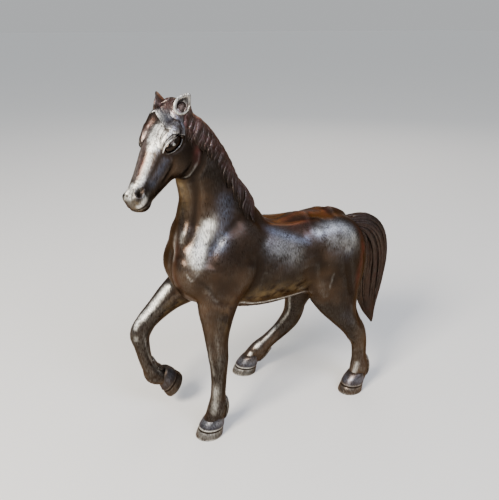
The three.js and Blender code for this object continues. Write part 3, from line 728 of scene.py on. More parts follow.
earParts = {
    "at": {1: (-4, 7.1, 8.7), -1: (-2.8, 8, -10.6)},     # middle of the rim on the head, left and right
    "tipward": (-0.97, 0.12, 0.19),
    "facing": (0.14, 0.52, 0.84),
    "sides": 28,
    # half length towards the tip, half width, how far the ring lies tipwards, outwards and in front,
    # and how bright its rubbed rim and painted highlight are, and how dark its painted shade is
    "rings": [
        (3.6, 3.6, -2.6, 1.6, -9, 0.1, 0.2), (4.6, 4.2, -1.8, 2, -6, 0.2, 0.1),
        (5.7, 4.7, -0.8, 1.4, -3, 0.5, 0),
        (6.5, 5.1, 0, 0.4, -0.9, 0.8, 0), (6.1, 4.7, 0.1, 0, 0, 0.9, 0), (4.6, 3.6, 0, 0.7, 0, 0.6, 0),
        (4.2, 3.2, -0.1, 0.7, -0.7, 0.35, 0.15), (3.5, 2.7, -0.4, 0.6, -2.2, 0.25, 0.4),
        (2.4, 2.0, -0.9, 0.3, -3.4, 0.5, 0.15), (1.0, 0.9, -1.2, 0, -3.8, 0.6, 0.05),
    ],
    "rim": 4,                          # the first ring of the rim, and the first of the hollow
    "hollow": 6,
    "point": 0.22,                     # how much the tip is drawn out
    "narrowed": 0.2,                   # and how much narrower it gets
    "curl": 1.3,                       # how far the tip leans forward
    "farSideLit": 0.05,
    "bluish": 0.9,                     # painted sky reflection in the near hollow
    "reddish": (0.45, 0.3),            # all over the far ear, and on the back of the near one
}


# A thick-rimmed cup, drawn up its outside and down into its hollow
def makeEar(side):
    bm = bmesh.new()
    ear = earParts
    tipward = unit(headTurn @ (np.array(ear["tipward"]) * (1, 1, side)))
    facing = headTurn @ (np.array(ear["facing"]) * (1, 1, side))
    facing = unit(facing - tipward * (facing @ tipward))
    outward = np.cross(facing, tipward)
    outward *= math.copysign(1, outward @ (headLeft * side))
    middle = onHead(*ear["at"][side])
    rings, first, last = stackedRings(bm, len(ear["rings"]), ear["sides"])
    rubbed = []
    shadow = []
    bluish = []
    reddish = []
    for i, (long, wide, up, out, front, bright, dark) in enumerate(ear["rings"]):
        outside = i < ear["rim"]
        hollow = i >= ear["hollow"]
        for vert in rings[i]:
            c, s, _ = vert.co
            peak = max(c, 0) ** 5
            vert.co = Vector(middle + tipward * (long * c * (1 + ear["point"] * peak) + up)
                             + outward * (wide * s * (1 - ear["narrowed"] * max(c, 0) ** 2) + out)
                             + facing * (front + ear["curl"] * peak * (1 if front > -2 else 0.3)))
            # painted shade: the back of the ear stays dark, and so does the upper part of its hollow
            behind = min(max(s * 0.9 + c * 0.2, 0), 1) * (1 if outside else 0 if hollow else 0.45)
            rubbed.append(bright * (1 - behind) * (1 if side > 0 else ear["farSideLit"]))
            shadow.append(min(max(dark * (1 + 0.5 * c - 0.6 * s) + behind * 0.6 * outside, 0), 1))
            bluish.append(ear["bluish"] * (side > 0 and hollow))
            reddish.append(ear["reddish"][0] if side < 0 else ear["reddish"][1] * outside)
    bmesh.ops.holes_fill(bm, edges=last, sides=ear["sides"])
    bmesh.ops.holes_fill(bm, edges=first, sides=ear["sides"])
    piece = newPiece(sideName(side, "ear"), bm)
    tint(piece.data, rubbed=rubbed, shadow=shadow, bluish=bluish, reddish=reddish)
    soft = piece.modifiers.new("soft", "SUBSURF")
    soft.levels = soft.render_levels = 2
    return applied(piece)


hoofParts = {
    "length": 20,
    "width": 17,
    "height": 11,
    "heelShare": 0.9,
    "sides": 48,
    # height share, half length, half width, how far the ring lies back, in shares of the length,
    # then how bright it is rubbed and lit by a painted highlight, how dark its painted shade is, and its
    # painted sky sheen
    "levels": [
        (0, 0.5, 0.5, 0, 0.2, 0, 0), (0.05, 0.502, 0.502, 0.005, 0.5, 0, 0),
        (0.12, 0.497, 0.497, 0.015, 0.15, 0, 0),
        (0.3, 0.484, 0.484, 0.042, 0.2, 0.1, 0), (0.45, 0.468, 0.47, 0.066, 0.45, 0, 0),
        (0.49, 0.452, 0.456, 0.073, 0, 1.1, 0), (0.54, 0.449, 0.453, 0.082, 0, 1.1, 0),
        (0.58, 0.463, 0.467, 0.087, 0.1, 0.4, 0), (0.62, 0.466, 0.47, 0.095, 0.8, 0, 0),
        (0.66, 0.462, 0.467, 0.103, 0.6, 0, 0.2), (0.71, 0.456, 0.462, 0.112, 0, 0.4, 0.5),
        (0.84, 0.437, 0.448, 0.138, 0, 0.25, 0.7), (0.98, 0.41, 0.428, 0.166, 0.1, 0.1, 0.8),
        (1.12, 0.375, 0.402, 0.198, 0.1, 0.1, 0.6), (1.26, 0.335, 0.37, 0.23, 0, 0.4, 0.3),
        (1.38, 0.28, 0.33, 0.258, 0, 0.6, 0),
    ],
    # how deep the cleft of the heel is, and how wide it is along and across
    "cleft": (0.1, 0.03, 0.22),
    # steps into the sole: how far in and how deep
    "soleSteps": [(1.3, 0), (0.5, 1.0), (3.2, 0.5)],
    "frog": {"at": (-2.6, 0, 0.9), "heel": 2.9, "tip": 0.5, "length": 9.5, "flat": 0.34},
    # how much painted light each hoof gets; below a fifth it stands in painted shade
    "lit": {"left_fore_hoof": 1, "left_hind_hoof": 0.3, "right_hind_hoof": 1, "right_fore_hoof": 0.12},
    "places": {
        "left_fore_hoof": ((55, 22, 0), 4, 0),
        "left_hind_hoof": ((-62, 24.5, 0), 4, 0),
        "right_hind_hoof": ((0, -34.5, 0), -18, 0),
        "right_fore_hoof": ((64.5, -20, 17), 0, 52),
    },
}


def makeHoof(name):
    sole, turn, tip = hoofParts["places"][name]
    length, width, height, sides = (hoofParts[key] for key in ("length", "width", "height", "sides"))
    cleftDepth, cleftAlong, cleftAcross = hoofParts["cleft"]
    lit = hoofParts["lit"][name]
    inShade = lit < 0.2
    bm = bmesh.new()
    rings, first, last = stackedRings(bm, len(hoofParts["levels"]), sides)
    rubbed = []
    shadow = []
    bluish = []
    for ring, (up, halfLength, halfWidth, back, bright, dark, blue) in zip(rings, hoofParts["levels"]):
        for vert in ring:
            c, s, _ = vert.co
            heel = hoofParts["heelShare"] if c < 0 else 1
            cleft = cleftDepth * math.exp(-((1 + c) / cleftAlong) - (s / cleftAcross) ** 2)
            heel -= cleft * (1 if up > 0.2 else 0.4)
            vert.co = (length * (halfLength * c * heel - back), width * halfWidth * s, height * up)
            # painted highlight mostly on the front and the near side, painted shade on the rest, more on
            # a hoof in shade
            towards = min(max(0.25 + 0.6 * c + 0.5 * s, 0.1), 1)
            rubbed.append(bright * lit * towards)
            shadow.append(dark * (0.5 + 0.5 * towards) + 0.35 * inShade)
            bluish.append(blue * (0.6 if inShade else 1))
    bmesh.ops.holes_fill(bm, edges=last, sides=sides)
    bottom = bmesh.ops.holes_fill(bm, edges=first, sides=sides)["faces"]
    for thickness, depth in hoofParts["soleSteps"]:
        bmesh.ops.inset_region(bm, faces=bottom, thickness=thickness, depth=-depth, use_even_offset=True)
    frog = hoofParts["frog"]
    place = Matrix.Translation(frog["at"]) @ Matrix.Rotation(math.radians(90), 4, "Y")
    bmesh.ops.create_cone(bm, cap_ends=True, segments=16, radius1=frog["heel"], radius2=frog["tip"],
                          depth=frog["length"], matrix=place @ Matrix.Diagonal((frog["flat"], 1, 1, 1)))
    place = (Matrix.Translation(sole) @ Matrix.Rotation(math.radians(turn), 4, "Z")
             @ Matrix.Rotation(math.radians(tip), 4, "Y"))
    bmesh.ops.transform(bm, matrix=place, verts=bm.verts)
    plain = [0] * (len(bm.verts) - len(rubbed))
    piece = newPiece(name, bm)
    tint(piece.data, rubbed=rubbed + plain, shadow=shadow + [0.5] * len(plain), bluish=bluish + plain)
    return piece


maneParts = {
    "count": 52,
    "first": 0.03,                      # where its locks start, as shares of the crest
    "last": 0.735,
    "top": [69, -2, 213, 10, 9],        # a last station over the neck, for its crest between the ears
    "hang": 13.5,
    # along a lock: forward, left and up from the crest, then its shares of drift, sway and hang
    "lock": [
        (0.4, -1.6, 0, 0, 0, 0), (0.6, 2.2, -0.8, 0, 0, 0), (0, 7.5, 0, 0.55, 1, 0.32),
        (0, 11.5, 0, 0.9, -1, 0.68), (0, 14, 0, 1.2, 0.6, 1),
    ],
    "halfWidth": 2.1,
    "halfThick": 0.46,
    "rootRow": 30,                      # small locks that close the parting along the crest
}


# The crest of the neck, from the poll down to the withers
def crestAt(down):
    rows = smoothLine([maneParts["top"], *flesh["neck"][::-1]], 8)
    place = min(max(down, 0), 1) * (len(rows) - 1)
    index = min(int(place), len(rows) - 2)
    row = rows[index] + (place - index) * (rows[index + 1] - rows[index])
    return np.array([row[0] - row[3], row[1], row[2]])


def makeMane():
    bm = bmesh.new()
    paths = []
    sizes = []
    for n in range(maneParts["count"]):
        share = (n + chance.uniform(-0.3, 0.3)) / (maneParts["count"] - 1)
        down = maneParts["first"] + (maneParts["last"] - maneParts["first"]) * min(max(share, 0), 1)
        start = crestAt(down)
        hang = maneParts["hang"] * (0.75 + 0.35 * share) * chance.uniform(0.8, 1.15)
        sway = chance.uniform(-1.6, 1.6)
        drift = 3.5 + chance.uniform(-1, 1)
        paths.append([start + np.array([forward + d * drift + s * sway, left, up - h * hang])
                      for forward, left, up, d, s, h in maneParts["lock"]])
        sizes.append(chance.uniform(0.75, 1.2))
    for n in range(maneParts["rootRow"]):
        down = maneParts["first"] + (maneParts["last"] - 0.05) * n / (maneParts["rootRow"] - 1)
        paths.append([crestAt(down) + np.array([0, 0.8, 0]),
                      crestAt(down + 0.05) + np.array([0, -0.6, 0]),
                      crestAt(down + 0.1) + np.array([0.4, -2.6, -1.2])])
        sizes.append(0.8)
    ends = []
    for n, ((points, outs), size) in enumerate(zip(laidOnSkin(paths, 4), sizes)):
        lift = 0.3 * (n % 3) / 2 - 0.05
        addLock(bm, points, outs, maneParts["halfWidth"] * size, maneParts["halfThick"] * size, lift)
        ends += list(np.linspace(0, 1, len(bm.verts) - len(ends)))
    piece = newPiece("mane", bm)
    _, left, up = pointsOf(piece.data).T
    low = between(left, 3, 11)
    shadow = low * (between(np.array(ends), 0.5, 0.8846) + 0.3)
    # red-brown along the crest, painted shade towards the lower tips, and a little painted sky sheen up
    # high
    tint(piece.data, reddish=1 - 0.4 * low, shadow=shadow, bluish=0.2 * between(up, 190, 170))
    return piece


forelockParts = {
    "count": 8,
    "front": [(2, 8.4, -6), (7.4, 8.1, 1.2), (10.7, 5.9, 6.2), (12.1, 4.9, 8.8), (11.4, 2.6, 10.2),
              (10, -1.2, 10.4), (9.1, -3.6, 10.8)],
    "rear": [(-7, 6, -1), (-3, 4.7, 2), (0.6, 3, 6.8), (3.5, 1.5, 8.8), (5.4, -0.4, 9.8), (7, -2, 10.3),
             (9, -4, 10.8)],
    "far": [[(-4, 5, -2), (1, 6, -6), (5, 5.6, -8.4)], [(-6, 4, -3), (-1, 4.6, -7.4), (3, 3.6, -9.6)]],
    "halfWidth": 1.9,
    "halfThick": 0.62,
}


# Broad flat locks swept from the poll to the left eye
def makeForelock():
    bm = bmesh.new()
    front = np.array(forelockParts["front"], float)
    rear = np.array(forelockParts["rear"], float)
    paths = []
    for n in range(forelockParts["count"]):
        share = n / (forelockParts["count"] - 1)
        paths.append(pathOnHead(front + (rear - front) * share))
    paths += [pathOnHead(path) for path in forelockParts["far"]]
    rubbed = []
    for n, (points, outs) in enumerate(laidOnSkin(paths, 5)):
        addLock(bm, points, outs, forelockParts["halfWidth"], forelockParts["halfThick"], 0.12 * (n % 2),
                blunt=0.3, ridge=0.05)
        rubbed += [0.22 if n == 0 else 0.03] * (len(bm.verts) - len(rubbed))
    piece = newPiece("forelock", bm)
    along, _, left = onFace(pointsOf(piece.data)).T
    brown = between(along, 4, -1)
    pale = between(along, 1, 5) * between(left, 3, -1)
    # painted highlight on the front lock and its near part, painted sky sheen away from the poll,
    # red-brown near it
    tint(piece.data, rubbed=np.array(rubbed) + 0.3 * pale, bluish=0.6 * (1 - brown), reddish=0.8 * brown)
    return piece


tailParts = {
    # forward, left, up, half depth, half width
    "fall": [
        [-58, 0, 127, 6, 6], [-70, 0, 127, 7, 6.5], [-82, 0, 123, 10, 8], [-89, 0, 113, 13, 9.5],
        [-91.5, 0, 98, 13.5, 10], [-91, 0, 82, 12.5, 9.5], [-91, 0, 67, 10.5, 8], [-93, 0, 54, 7.5, 6],
        [-96, 0, 44, 3.6, 3.4], [-98, 0, 38, 1, 1],
    ],
    "core": 0.8,
    "rings": [(17, 0.86, 0.9), (25, 0.99, 0.98)],   # locks in a ring, how far out, how long
    "shortest": 0.72,                               # of the longest
    "firstStations": (2, 6),                        # between which a lock starts
    "halfWidth": 1.9,
    "halfThick": 1.6,
    "sway": 0.22,
}


def makeTail():
    bm = bmesh.new()
    fall = smoothLine(tailParts["fall"], 5)
    core = fall.copy()
    core[:, 3:] *= tailParts["core"]
    loftAlong(bm, core, (0, 1, 0), 24)
    runs = np.gradient(fall[:, :3], axis=0)
    runs /= np.linalg.norm(runs, axis=1)[:, None]
    ahead = np.cross(np.array([0, 1, 0]), runs)
    for count, reach, longest in tailParts["rings"]:
        for n in range(count):
            angle = 2 * math.pi * (n + chance.uniform(-0.2, 0.2)) / count
            stop = int(len(fall) * longest * chance.uniform(tailParts["shortest"], 1))
            start = chance.integers(*tailParts["firstStations"])
            phase = chance.uniform(0, 6.28)
            size = chance.uniform(0.8, 1.2)
            points = []
            outs = []
            for i in range(start, stop):
                deep, wide = fall[i, 3:]
                share = i / (len(fall) - 1)
                turned = angle + tailParts["sway"] * math.sin(4.4 * share + phase) * share * 2
                c, s = math.cos(turned), math.sin(turned)
                out = ahead[i] * c + np.array([0, s, 0])
                span = reach * (0.94 if i == start else 1)
                offset = (ahead[i] * deep * c + np.array([0, wide * s, 0])) * span
                points.append(fall[i, :3] + offset - out * tailParts["halfThick"] * min(deep / 8, 1))
                outs.append(out)
            narrow = np.minimum(fall[start:stop, 3] / 9, 1)
            addTailLock(bm, np.array(points), np.array(outs), narrow, size)
    piece = newPiece("tail", bm)
    forward, left, up = pointsOf(piece.data).T
    # painted sky sheen on top, painted warm reflection on the inner strands near the body, and darkened
    # all over
    tint(piece.data, bluish=0.1 * between(up, 108, 128), reddish=0.5, shadow=0.72,
         olive=0.7 * between(forward, -88, -82) * between(up, 104, 94))
    return piece


# Narrow at its root and its end, and where the whole tail is thin
def addTailLock(bm, points, outs, narrow, size):
    share = np.linspace(0, 1, len(points))
    taper = np.minimum(1, 0.55 + 3 * share) * np.minimum(1, 0.12 + 2.6 * (1 - share))
    taper *= np.maximum(narrow, 0.25) * size
    halfThick = tailParts["halfThick"] * taper
    loftLock(bm, points, outs, 0, halfThick, tailParts["halfWidth"] * taper, 14, 0.13)


tuftParts = {
    "halfWidth": 1.5,
    "halfThick": 1.0,
    "spread": (-0.75, -0.35, 0, 0.35, 0.75),
    # along a lock: stations down the limb, how far back, and how much of its spread
    "lock": [(7.3, -0.95, 0.8), (8, -1.05, 1), (8.7, -1.0, 0.7), (9.2, -1.1, 0.3)],
    "off": 0.9,              # how far its end stands off
}


# Small locks of hair behind each fetlock
def makeTufts():
    bm = bmesh.new()
    paths = []
    for limb in flesh["limbs"]:
        rows = np.array(flesh[limb], float)
        for left in tuftParts["spread"]:
            paths.append([onLimb(rows, down, back, left * share)
                          for down, back, share in tuftParts["lock"]])
    for points, outs in laidOnSkin(paths, 4):
        off = outs * tuftParts["off"] * np.linspace(0, 1, len(points))[:, None] ** 2
        addLock(bm, points + off, outs, tuftParts["halfWidth"], tuftParts["halfThick"], 0.1)
    return newPiece("fetlock_hair", bm)


skin = castSkin()
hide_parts("horse")
pieces = [skin]
eyeballs = [makeEyeball(side) for side in (1, -1)]
pieces += eyeballs + [makeLids(side) for side in (1, -1)]
pieces += [makeEar(side) for side in (1, -1)]
pieces += [makeHoof(name) for name in hoofParts["places"]]
print("hooves, ears and eyes done")
pieces += [makeMane(), makeForelock(), makeTail(), makeTufts()]
print("hair done")

# Where the patina is rubbed bright or takes another colour, and where highlights, reflections and shade
# are painted on: a path, half width and strength.
# Places on the head are given along it, towards its face and to its left.
creaseBefore = leftStrokes["crease before shoulder"][0]
creaseOn = leftStrokes["crease on shoulder"][0]
tints = {
    # rubbed bronze, and painted highlights on the shoulder, face and legs
    "rubbed": {
        "body": [
            ([(46, 14, 152.5), (48.8, 15, 147), (53.6, 16, 138), (57.6, 18.4, 129),
              (59.4, 20, 123)], 3.5, 1.6),
            ([(56, 15.6, 135), (60, 17.8, 127)], 4.2, 0.8),
            ([(66, 3, 144), (69, 3, 134), (70, 5, 124)], 2.4, 0.35),
            ([(61, 8.6, 144), (63.5, 9.4, 137)], 1.6, 0.4),
            ([(40.5, 18.4, 142), (43.5, 19.4, 136)], 2.4, 0.3),
            (creaseBefore + creaseOn[1:], 0.5, 0.6),
            ([(65, -14.5, 100), (71, -15, 94), (77, -15.5, 88), (83, -16, 82),
              (87, -16.4, 77)], 2.3, 1.4),
            ([(85, -17, 81), (88.3, -17.6, 76), (91, -17.6, 70)], 1.8, 0.9),
            ([(90.5, -15.8, 66), (91.2, -15.8, 62)], 1.5, 0.32),
            ([(86.3, -13.7, 67.9), (84.5, -15, 57), (82.7, -16.1, 47.3), (78, -15.2, 38),
              (74.4, -15, 30.6)], 0.6, 0.3),
            ([(51.1, 26.7, 84), (49.7, 27.4, 68), (48.5, 27.2, 52)], 0.8, 0.08),
            ([(53, 23, 74), (53, 24, 60), (52, 25, 46)], 0.8, 0.2),
            ([(51, 26, 40), (52.4, 26.2, 27), (53.6, 26, 17)], 1.9, 0.42),
            ([(53.2, 22.3, 111), (50.8, 25, 104), (48, 26, 101)], 0.9, 0.14),
            ([(52, 22, 112), (54, 22, 106)], 2.2, 0.12),
            (bodyStrokes["hip line"][0], 0.6, 0.14),
            ([(15.4, 25.5, 114.6), (14, 25.5, 113.7)], 0.28, 0.8),
            ([(-3, 26.4, 110.6), (-3.3, 26.4, 110.2)], 0.16, 1.0),
            ([(-33.8, 26, 110.2), (-34.1, 26, 109.8)], 0.16, 1.0),
            ([(-36.2, 25, 90), (-38, 25.2, 97), (-39.5, 25.2, 103)], 0.6, 0.12),
            ([(33, 21, 93), (22, 17, 89.6), (12, 16.8, 88.8), (2.4, 17.5, 89.2), (-10, 17.4, 89),
              (-18, 17.4, 89.1), (-23, 17.6, 89.5)], 1.0, 0.9),
            ([(6, 20, 134), (-6, 23, 127), (-16, 24, 121)], 8, 0.12),
            ([(-24, 20.5, 131), (-32, 19, 134), (-44, 20, 134), (-54, 22.5, 128),
              (-58, 24, 119)], 4.4, 0.36),
            ([(-32, 22.5, 128), (-44, 24.5, 125.5), (-54, 25, 120)], 5, 0.24),
            ([(14, 21, 134), (4, 24, 127), (-12, 25, 121)], 6, 0.12),
            ([(-62.6, 26, 14), (-63.6, 27, 19), (-65, 27.6, 25)], 1.6, 0.55),
            ([(-27, -14, 78), (-29.5, -17, 63), (-30.5, -20, 52), (-24, -24.6, 41),
              (-14, -28, 30)], 0.7, 0.5),
            ([(-23.7, -28, 38.7), (-18.1, -27.6, 31.1), (-12, -28.8, 26.1)], 1.0, 0.8),
            ([(-12, -29.2, 26.1), (-7, -29.4, 22)], 1.5, 1.0),
            ([(-4, -29.4, 18.6), (-1, -29.6, 16)], 1.3, 0.6),
        ],
        "head": [
            ([(9, 8, 1), (14, 7.8, 2.6), (22, 6.4, 3.4), (29, 4.8, 3.4)], 2.7, 1.3),
            ([(29, 4.8, 3.6), (36, 3.4, 3.8), (44, 2, 3.4), (50, 1.4, 2.4)], 1.4, 0.75),
            ([(11, 8, -1), (17, 7.8, -0.6), (24, 6.4, 0.4)], 2.2, 0.8),
            ([(14, 6.4, 6.8), (19, 6.6, 6), (25, 5, 5.6)], 2.2, 0.9),
            ([(15, 6.4, 8), (20.5, 6, 8), (25, 4.6, 7.4)], 1.0, 0.7),
            ([(12.6, 3.4, 10.4), (16.6, 5.4, 9.8), (22, 5.6, 8.8)], 1.5, 1.2),
            ([(12, 7, -5), (25, 5.5, -4), (40, 3, -2.4), (46, 2, -1.6)], 2.6, 0.3),
            ([(12.5, 5, 9.2), (15, 5.2, 9)], 1.2, 0.6),
            ([(48, 2.4, 1), (53, 2, -0.5), (57.5, -0.5, 0.5)], 3.0, 1.1),
            ([(50.5, -3.6, 7), (55, -4, 6.4), (58.5, -5, 3)], 1.7, 0.9),
            (headStrokes["jaw edge"][0][1:5], 0.6, 0.3),
        ],
    },
    # painted reflection of the blue sky
    "bluish": {
        "body": [
            ([(36, 12.5, 168), (38, 15.5, 154), (42, 18, 142), (45, 20, 132)], 5, 0.9),
            ([(47.7, 17.5, 136), (49.5, 19.5, 130)], 3.4, 0.7),
            ([(38.6, 18, 144), (41.5, 19.4, 138), (45.5, 20.4, 131)], 2.8, 0.9),
            ([(9.5, 14.2, 141), (-3.3, 19, 135), (-15.4, 22, 129.6), (-22, 21.5, 130)], 3.0, 1.05),
            ([(14, 20, 135), (2, 24.4, 126), (-10, 25.6, 119)], 7.5, 0.35),
            ([(-24, 21, 131), (-31, 19.4, 133.6), (-40, 19.4, 135.4), (-49, 21.2, 132.6),
              (-57, 23, 125)], 4.6, 1.1),
            ([(-34, 24.4, 125), (-44, 25.6, 121), (-55, 25.6, 115)], 6.5, 0.3),
            ([(-48, 22, 72), (-58, 25, 60)], 4, 0.1),
        ],
        "head": [
            ([(26, -1.5, 9.6), (34, -2.4, 8.2), (46, -3.2, 6.4)], 2.4, 0.8),
            ([(4, 3, 9), (12, 3, 10)], 2.4, 0.5),
        ],
    },
    # red-brown patina, partly a painted reflection along the top
    "reddish": {
        "body": [
            ([(45, -2, 208), (27, -2, 180), (10, -2, 147), (-20, -2, 145), (-50, -2, 138),
              (-64, -2, 128)], 6, 0.6),
            ([(8, 7, 146), (-8, 10, 142), (-20, 13, 139), (-28, 15, 137)], 6, 0.6),
            ([(65, 5, 140), (69, 7, 124), (64, 12, 106)], 5, 0.5),
            ([(-59.1, 18.1, 133.3), (-65.8, 21.1, 119.7), (-64.5, 23.2, 107),
              (-60.5, 24.2, 85)], 3.4, 0.8),
            ([(30, 26, 105), (44, 27, 90)], 7, 0.2),
            ([(51, 8, 203), (50.5, 8.8, 197), (52.5, 9.4, 190), (52.4, 9.6, 184)], 2.6, 0.9),
        ],
        "head": [
            ([(10, 7, -5), (25, 5.5, -4), (36, 3.4, -1.4), (46, 2, -1)], 3.4, 1.0),
            ([(2, -2, 11), (2, -14, 12.5)], 4, 0.4),
            ([(-8, 6, 0), (0, 8, 0)], 5, 0.8),
        ],
    },
    # painted warm reflection from below
    "olive": {
        "body": [
            ([(60, 1, 190), (60.5, 3, 170), (62, 5, 152)], 4, 1.0),
            ([(30, 23, 97), (4, 24.5, 95), (-22, 23, 97)], 7.5, 0.75),
            ([(60, -12, 92), (74, -14, 74)], 5, 0.7),
            ([(36, 27, 104), (44, 28, 92), (46, 28, 76)], 5, 0.45),
        ],
        "head": [([(46, -11, 4), (54, -12, 3)], 4, 0.6), ([(55, -4, 4), (58, -6, 1)], 3.5, 0.8)],
    },
    "shadow": {
        "body": [
            ([(54, 9.5, 186), (54, 10.5, 170), (56, 11.5, 158), (58, 12, 146)], 2.4, 0.9),
            ([(58, 21, 116), (52, 22.8, 109), (49, 25, 103)], 1.6, 0.5),
            ([(39, 17, 144.5), (35, 17.5, 146), (30, 17, 148)], 4.0, 0.8),
            ([(64, 19.5, 117), (46, 25, 110), (34, 26, 112)], 8, 0.45),
            ([(49.6, 27.6, 75), (46.3, 27.5, 96)], 5, 0.35),
            ([(49, 11.3, 170), (44, 12, 172)], 5, 0.6),
            ([(19, 23.4, 132), (18, 25.2, 118), (22, 25, 104), (28, 23, 96)], 4.6, 0.7),
            ([(-24, 24, 122), (-22, 25.6, 108), (-22, 25, 98)], 4.6, 0.4),
            ([(57, 20, 90), (58, 20, 78), (56, 18, 62)], 4, 0.5),
            ([(38, 25, 100), (37, 26, 84), (40, 25, 66), (41, 25, 48)], 3.4, 0.6),
            (bodyStrokes["below hip line"][0], 2, 0.7),
            ([(39, 11, 186), (38, 12, 174)], 4, 0.5),
            ([(-60, 22, 76), (-66, 24, 60), (-71, 25, 46)], 3.4, 0.5),
        ],
        "head": [
            ([(50.4, 0, 6.2), (51.8, 0.6, 4.8), (53.6, 0.2, 4.6)], 2.3, 1.6),
            ([(50, -8.6, 6.6), (54, -7.6, 6.9), (58, -6.6, 5.4), (61, -5.4, -0.5)], 0.8, 0.9),
            ([(25, 0.6, 8.6), (18, -0.6, 10.8), (10.8, -3.8, 10.8)], 1.6, 1.1),
            ([(25, 4.2, 8), (20.6, 5, 9), (15, 4.2, 10), (10.4, 0.4, 11)], 0.42, 1.3),
            ([(25, -2.6, 9.4), (20.4, -4.6, 10.6), (13, -6, 11)], 0.9, 0.9),
            ([(8.6, 8.2, 0.6), (11.6, 6.4, 6), (13.2, 5, 8.6)], 0.6, 1.2),
            (headStrokes["forehead line"][0], 0.45, 0.9),
            (headStrokes["line over eye"][0], 0.45, 1.0),
            (headStrokes["behind jaw"][0], 2.4, 0.9),
            ([(54.4, 0.6, -1.6), (55.4, -0.2, -1.8)], 1.2, 1.0),
            ([(50.4, -0.4, 6.6), (48.6, -1.4, 6.6)], 0.9, 0.9),
            ([(9, -8, 12.4), (18, -12, 12), (22, -17, 10)], 7, 0.4),
            ([(26, -4, 10), (34, -8, 9), (44, -9, 7.4)], 2.6, 0.8),
        ],
    },
}


def tintSkin(mesh, points):
    for name, places in tints.items():
        onHeadSkin = [(pathOnHead(path), width, strength) for path, width, strength in places["head"]]
        strokes = places["body"] + onHeadSkin
        tint(mesh, **{name: np.clip(strokeHeight(points, strokes), 0, 1.2)})


# A number in a shader that takes the usual signs. Colours go through blended instead.
class Amount:
    def __init__(self, tree, socket):
        self.tree = tree
        self.socket = socket

    def math(self, operation, *others, **settings):
        inputs = dict(enumerate((self, *others)))
        node = wire(self.tree, "Math", {"operation": operation, **settings}, inputs)
        return Amount(self.tree, node.outputs[0])

    def __add__(self, other):
        return self.math("ADD", other)

    def __sub__(self, other):
        return self.math("SUBTRACT", other)

    def __mul__(self, other):
        return self.math("MULTIPLY", other)

    def __rsub__(self, other):
        return self.math("MULTIPLY", -1) + other

    __radd__ = __add__
    __rmul__ = __mul__

    def kept(self):
        return self.math("ADD", 0, use_clamp=True)

    def above(self, least, gain):
        return ((self - least) * gain).kept()


def wire(tree, kind, settings, inputs):
    node = tree.nodes.new("ShaderNode" + kind)
    for name, value in settings.items():
        setattr(node, name, value)
    for name, value in inputs.items():
        socket = node.inputs[name]
        source = value.socket if isinstance(value, Amount) else value
        if isinstance(source, bpy.types.NodeSocket):
            tree.links.new(source, socket)
        else:
            socket.default_value = source
    return node


def blended(tree, share, first, second):
    settings = {"data_type": "RGBA", "clamp_factor": True}
    return wire(tree, "Mix", settings, {0: share, 6: first, 7: second}).outputs[2]


def noise(tree, place, scale, stretch=(1, 1, 1), detail=3.0):
    drawn = wire(tree, "Mapping", {}, {"Vector": place, "Scale": stretch}).outputs[0]
    inputs = {"Vector": drawn, "Scale": scale, "Detail": detail, "Roughness": 0.55}
    return Amount(tree, wire(tree, "TexNoise", {}, inputs).outputs[0])


bronzeLook = {
    "black": (0.0245, 0.017, 0.012, 1),
    "brown": (0.093, 0.056, 0.033, 1),
    "red": (0.115, 0.037, 0.029, 1),
    "edge": (0.56, 0.48, 0.43, 1),      # what the metal mirrors at a low angle
    "eyeEdge": (0.28, 0.24, 0.22, 1),
    # painted reflection of the blue sky
    "blue": (0.17, 0.185, 0.235, 1),
    # rubbed bronze, and painted highlights
    "silver": (0.98, 0.93, 0.81, 1),
    # painted warm reflection from below
    "gold": (0.17, 0.115, 0.055, 1),
    "roughness": 0.33,
    "eyeRoughness": 0.07,
    # scales of the noises, to a metre
    "patches": 26.0,
    "spots": 170.0,
    "hairs": 1500.0,        # brushed hairs, five times as long upwards
    "grain": 1900.0,
    "hairDepth": 0.00016,
    "bump": 0.55,
}


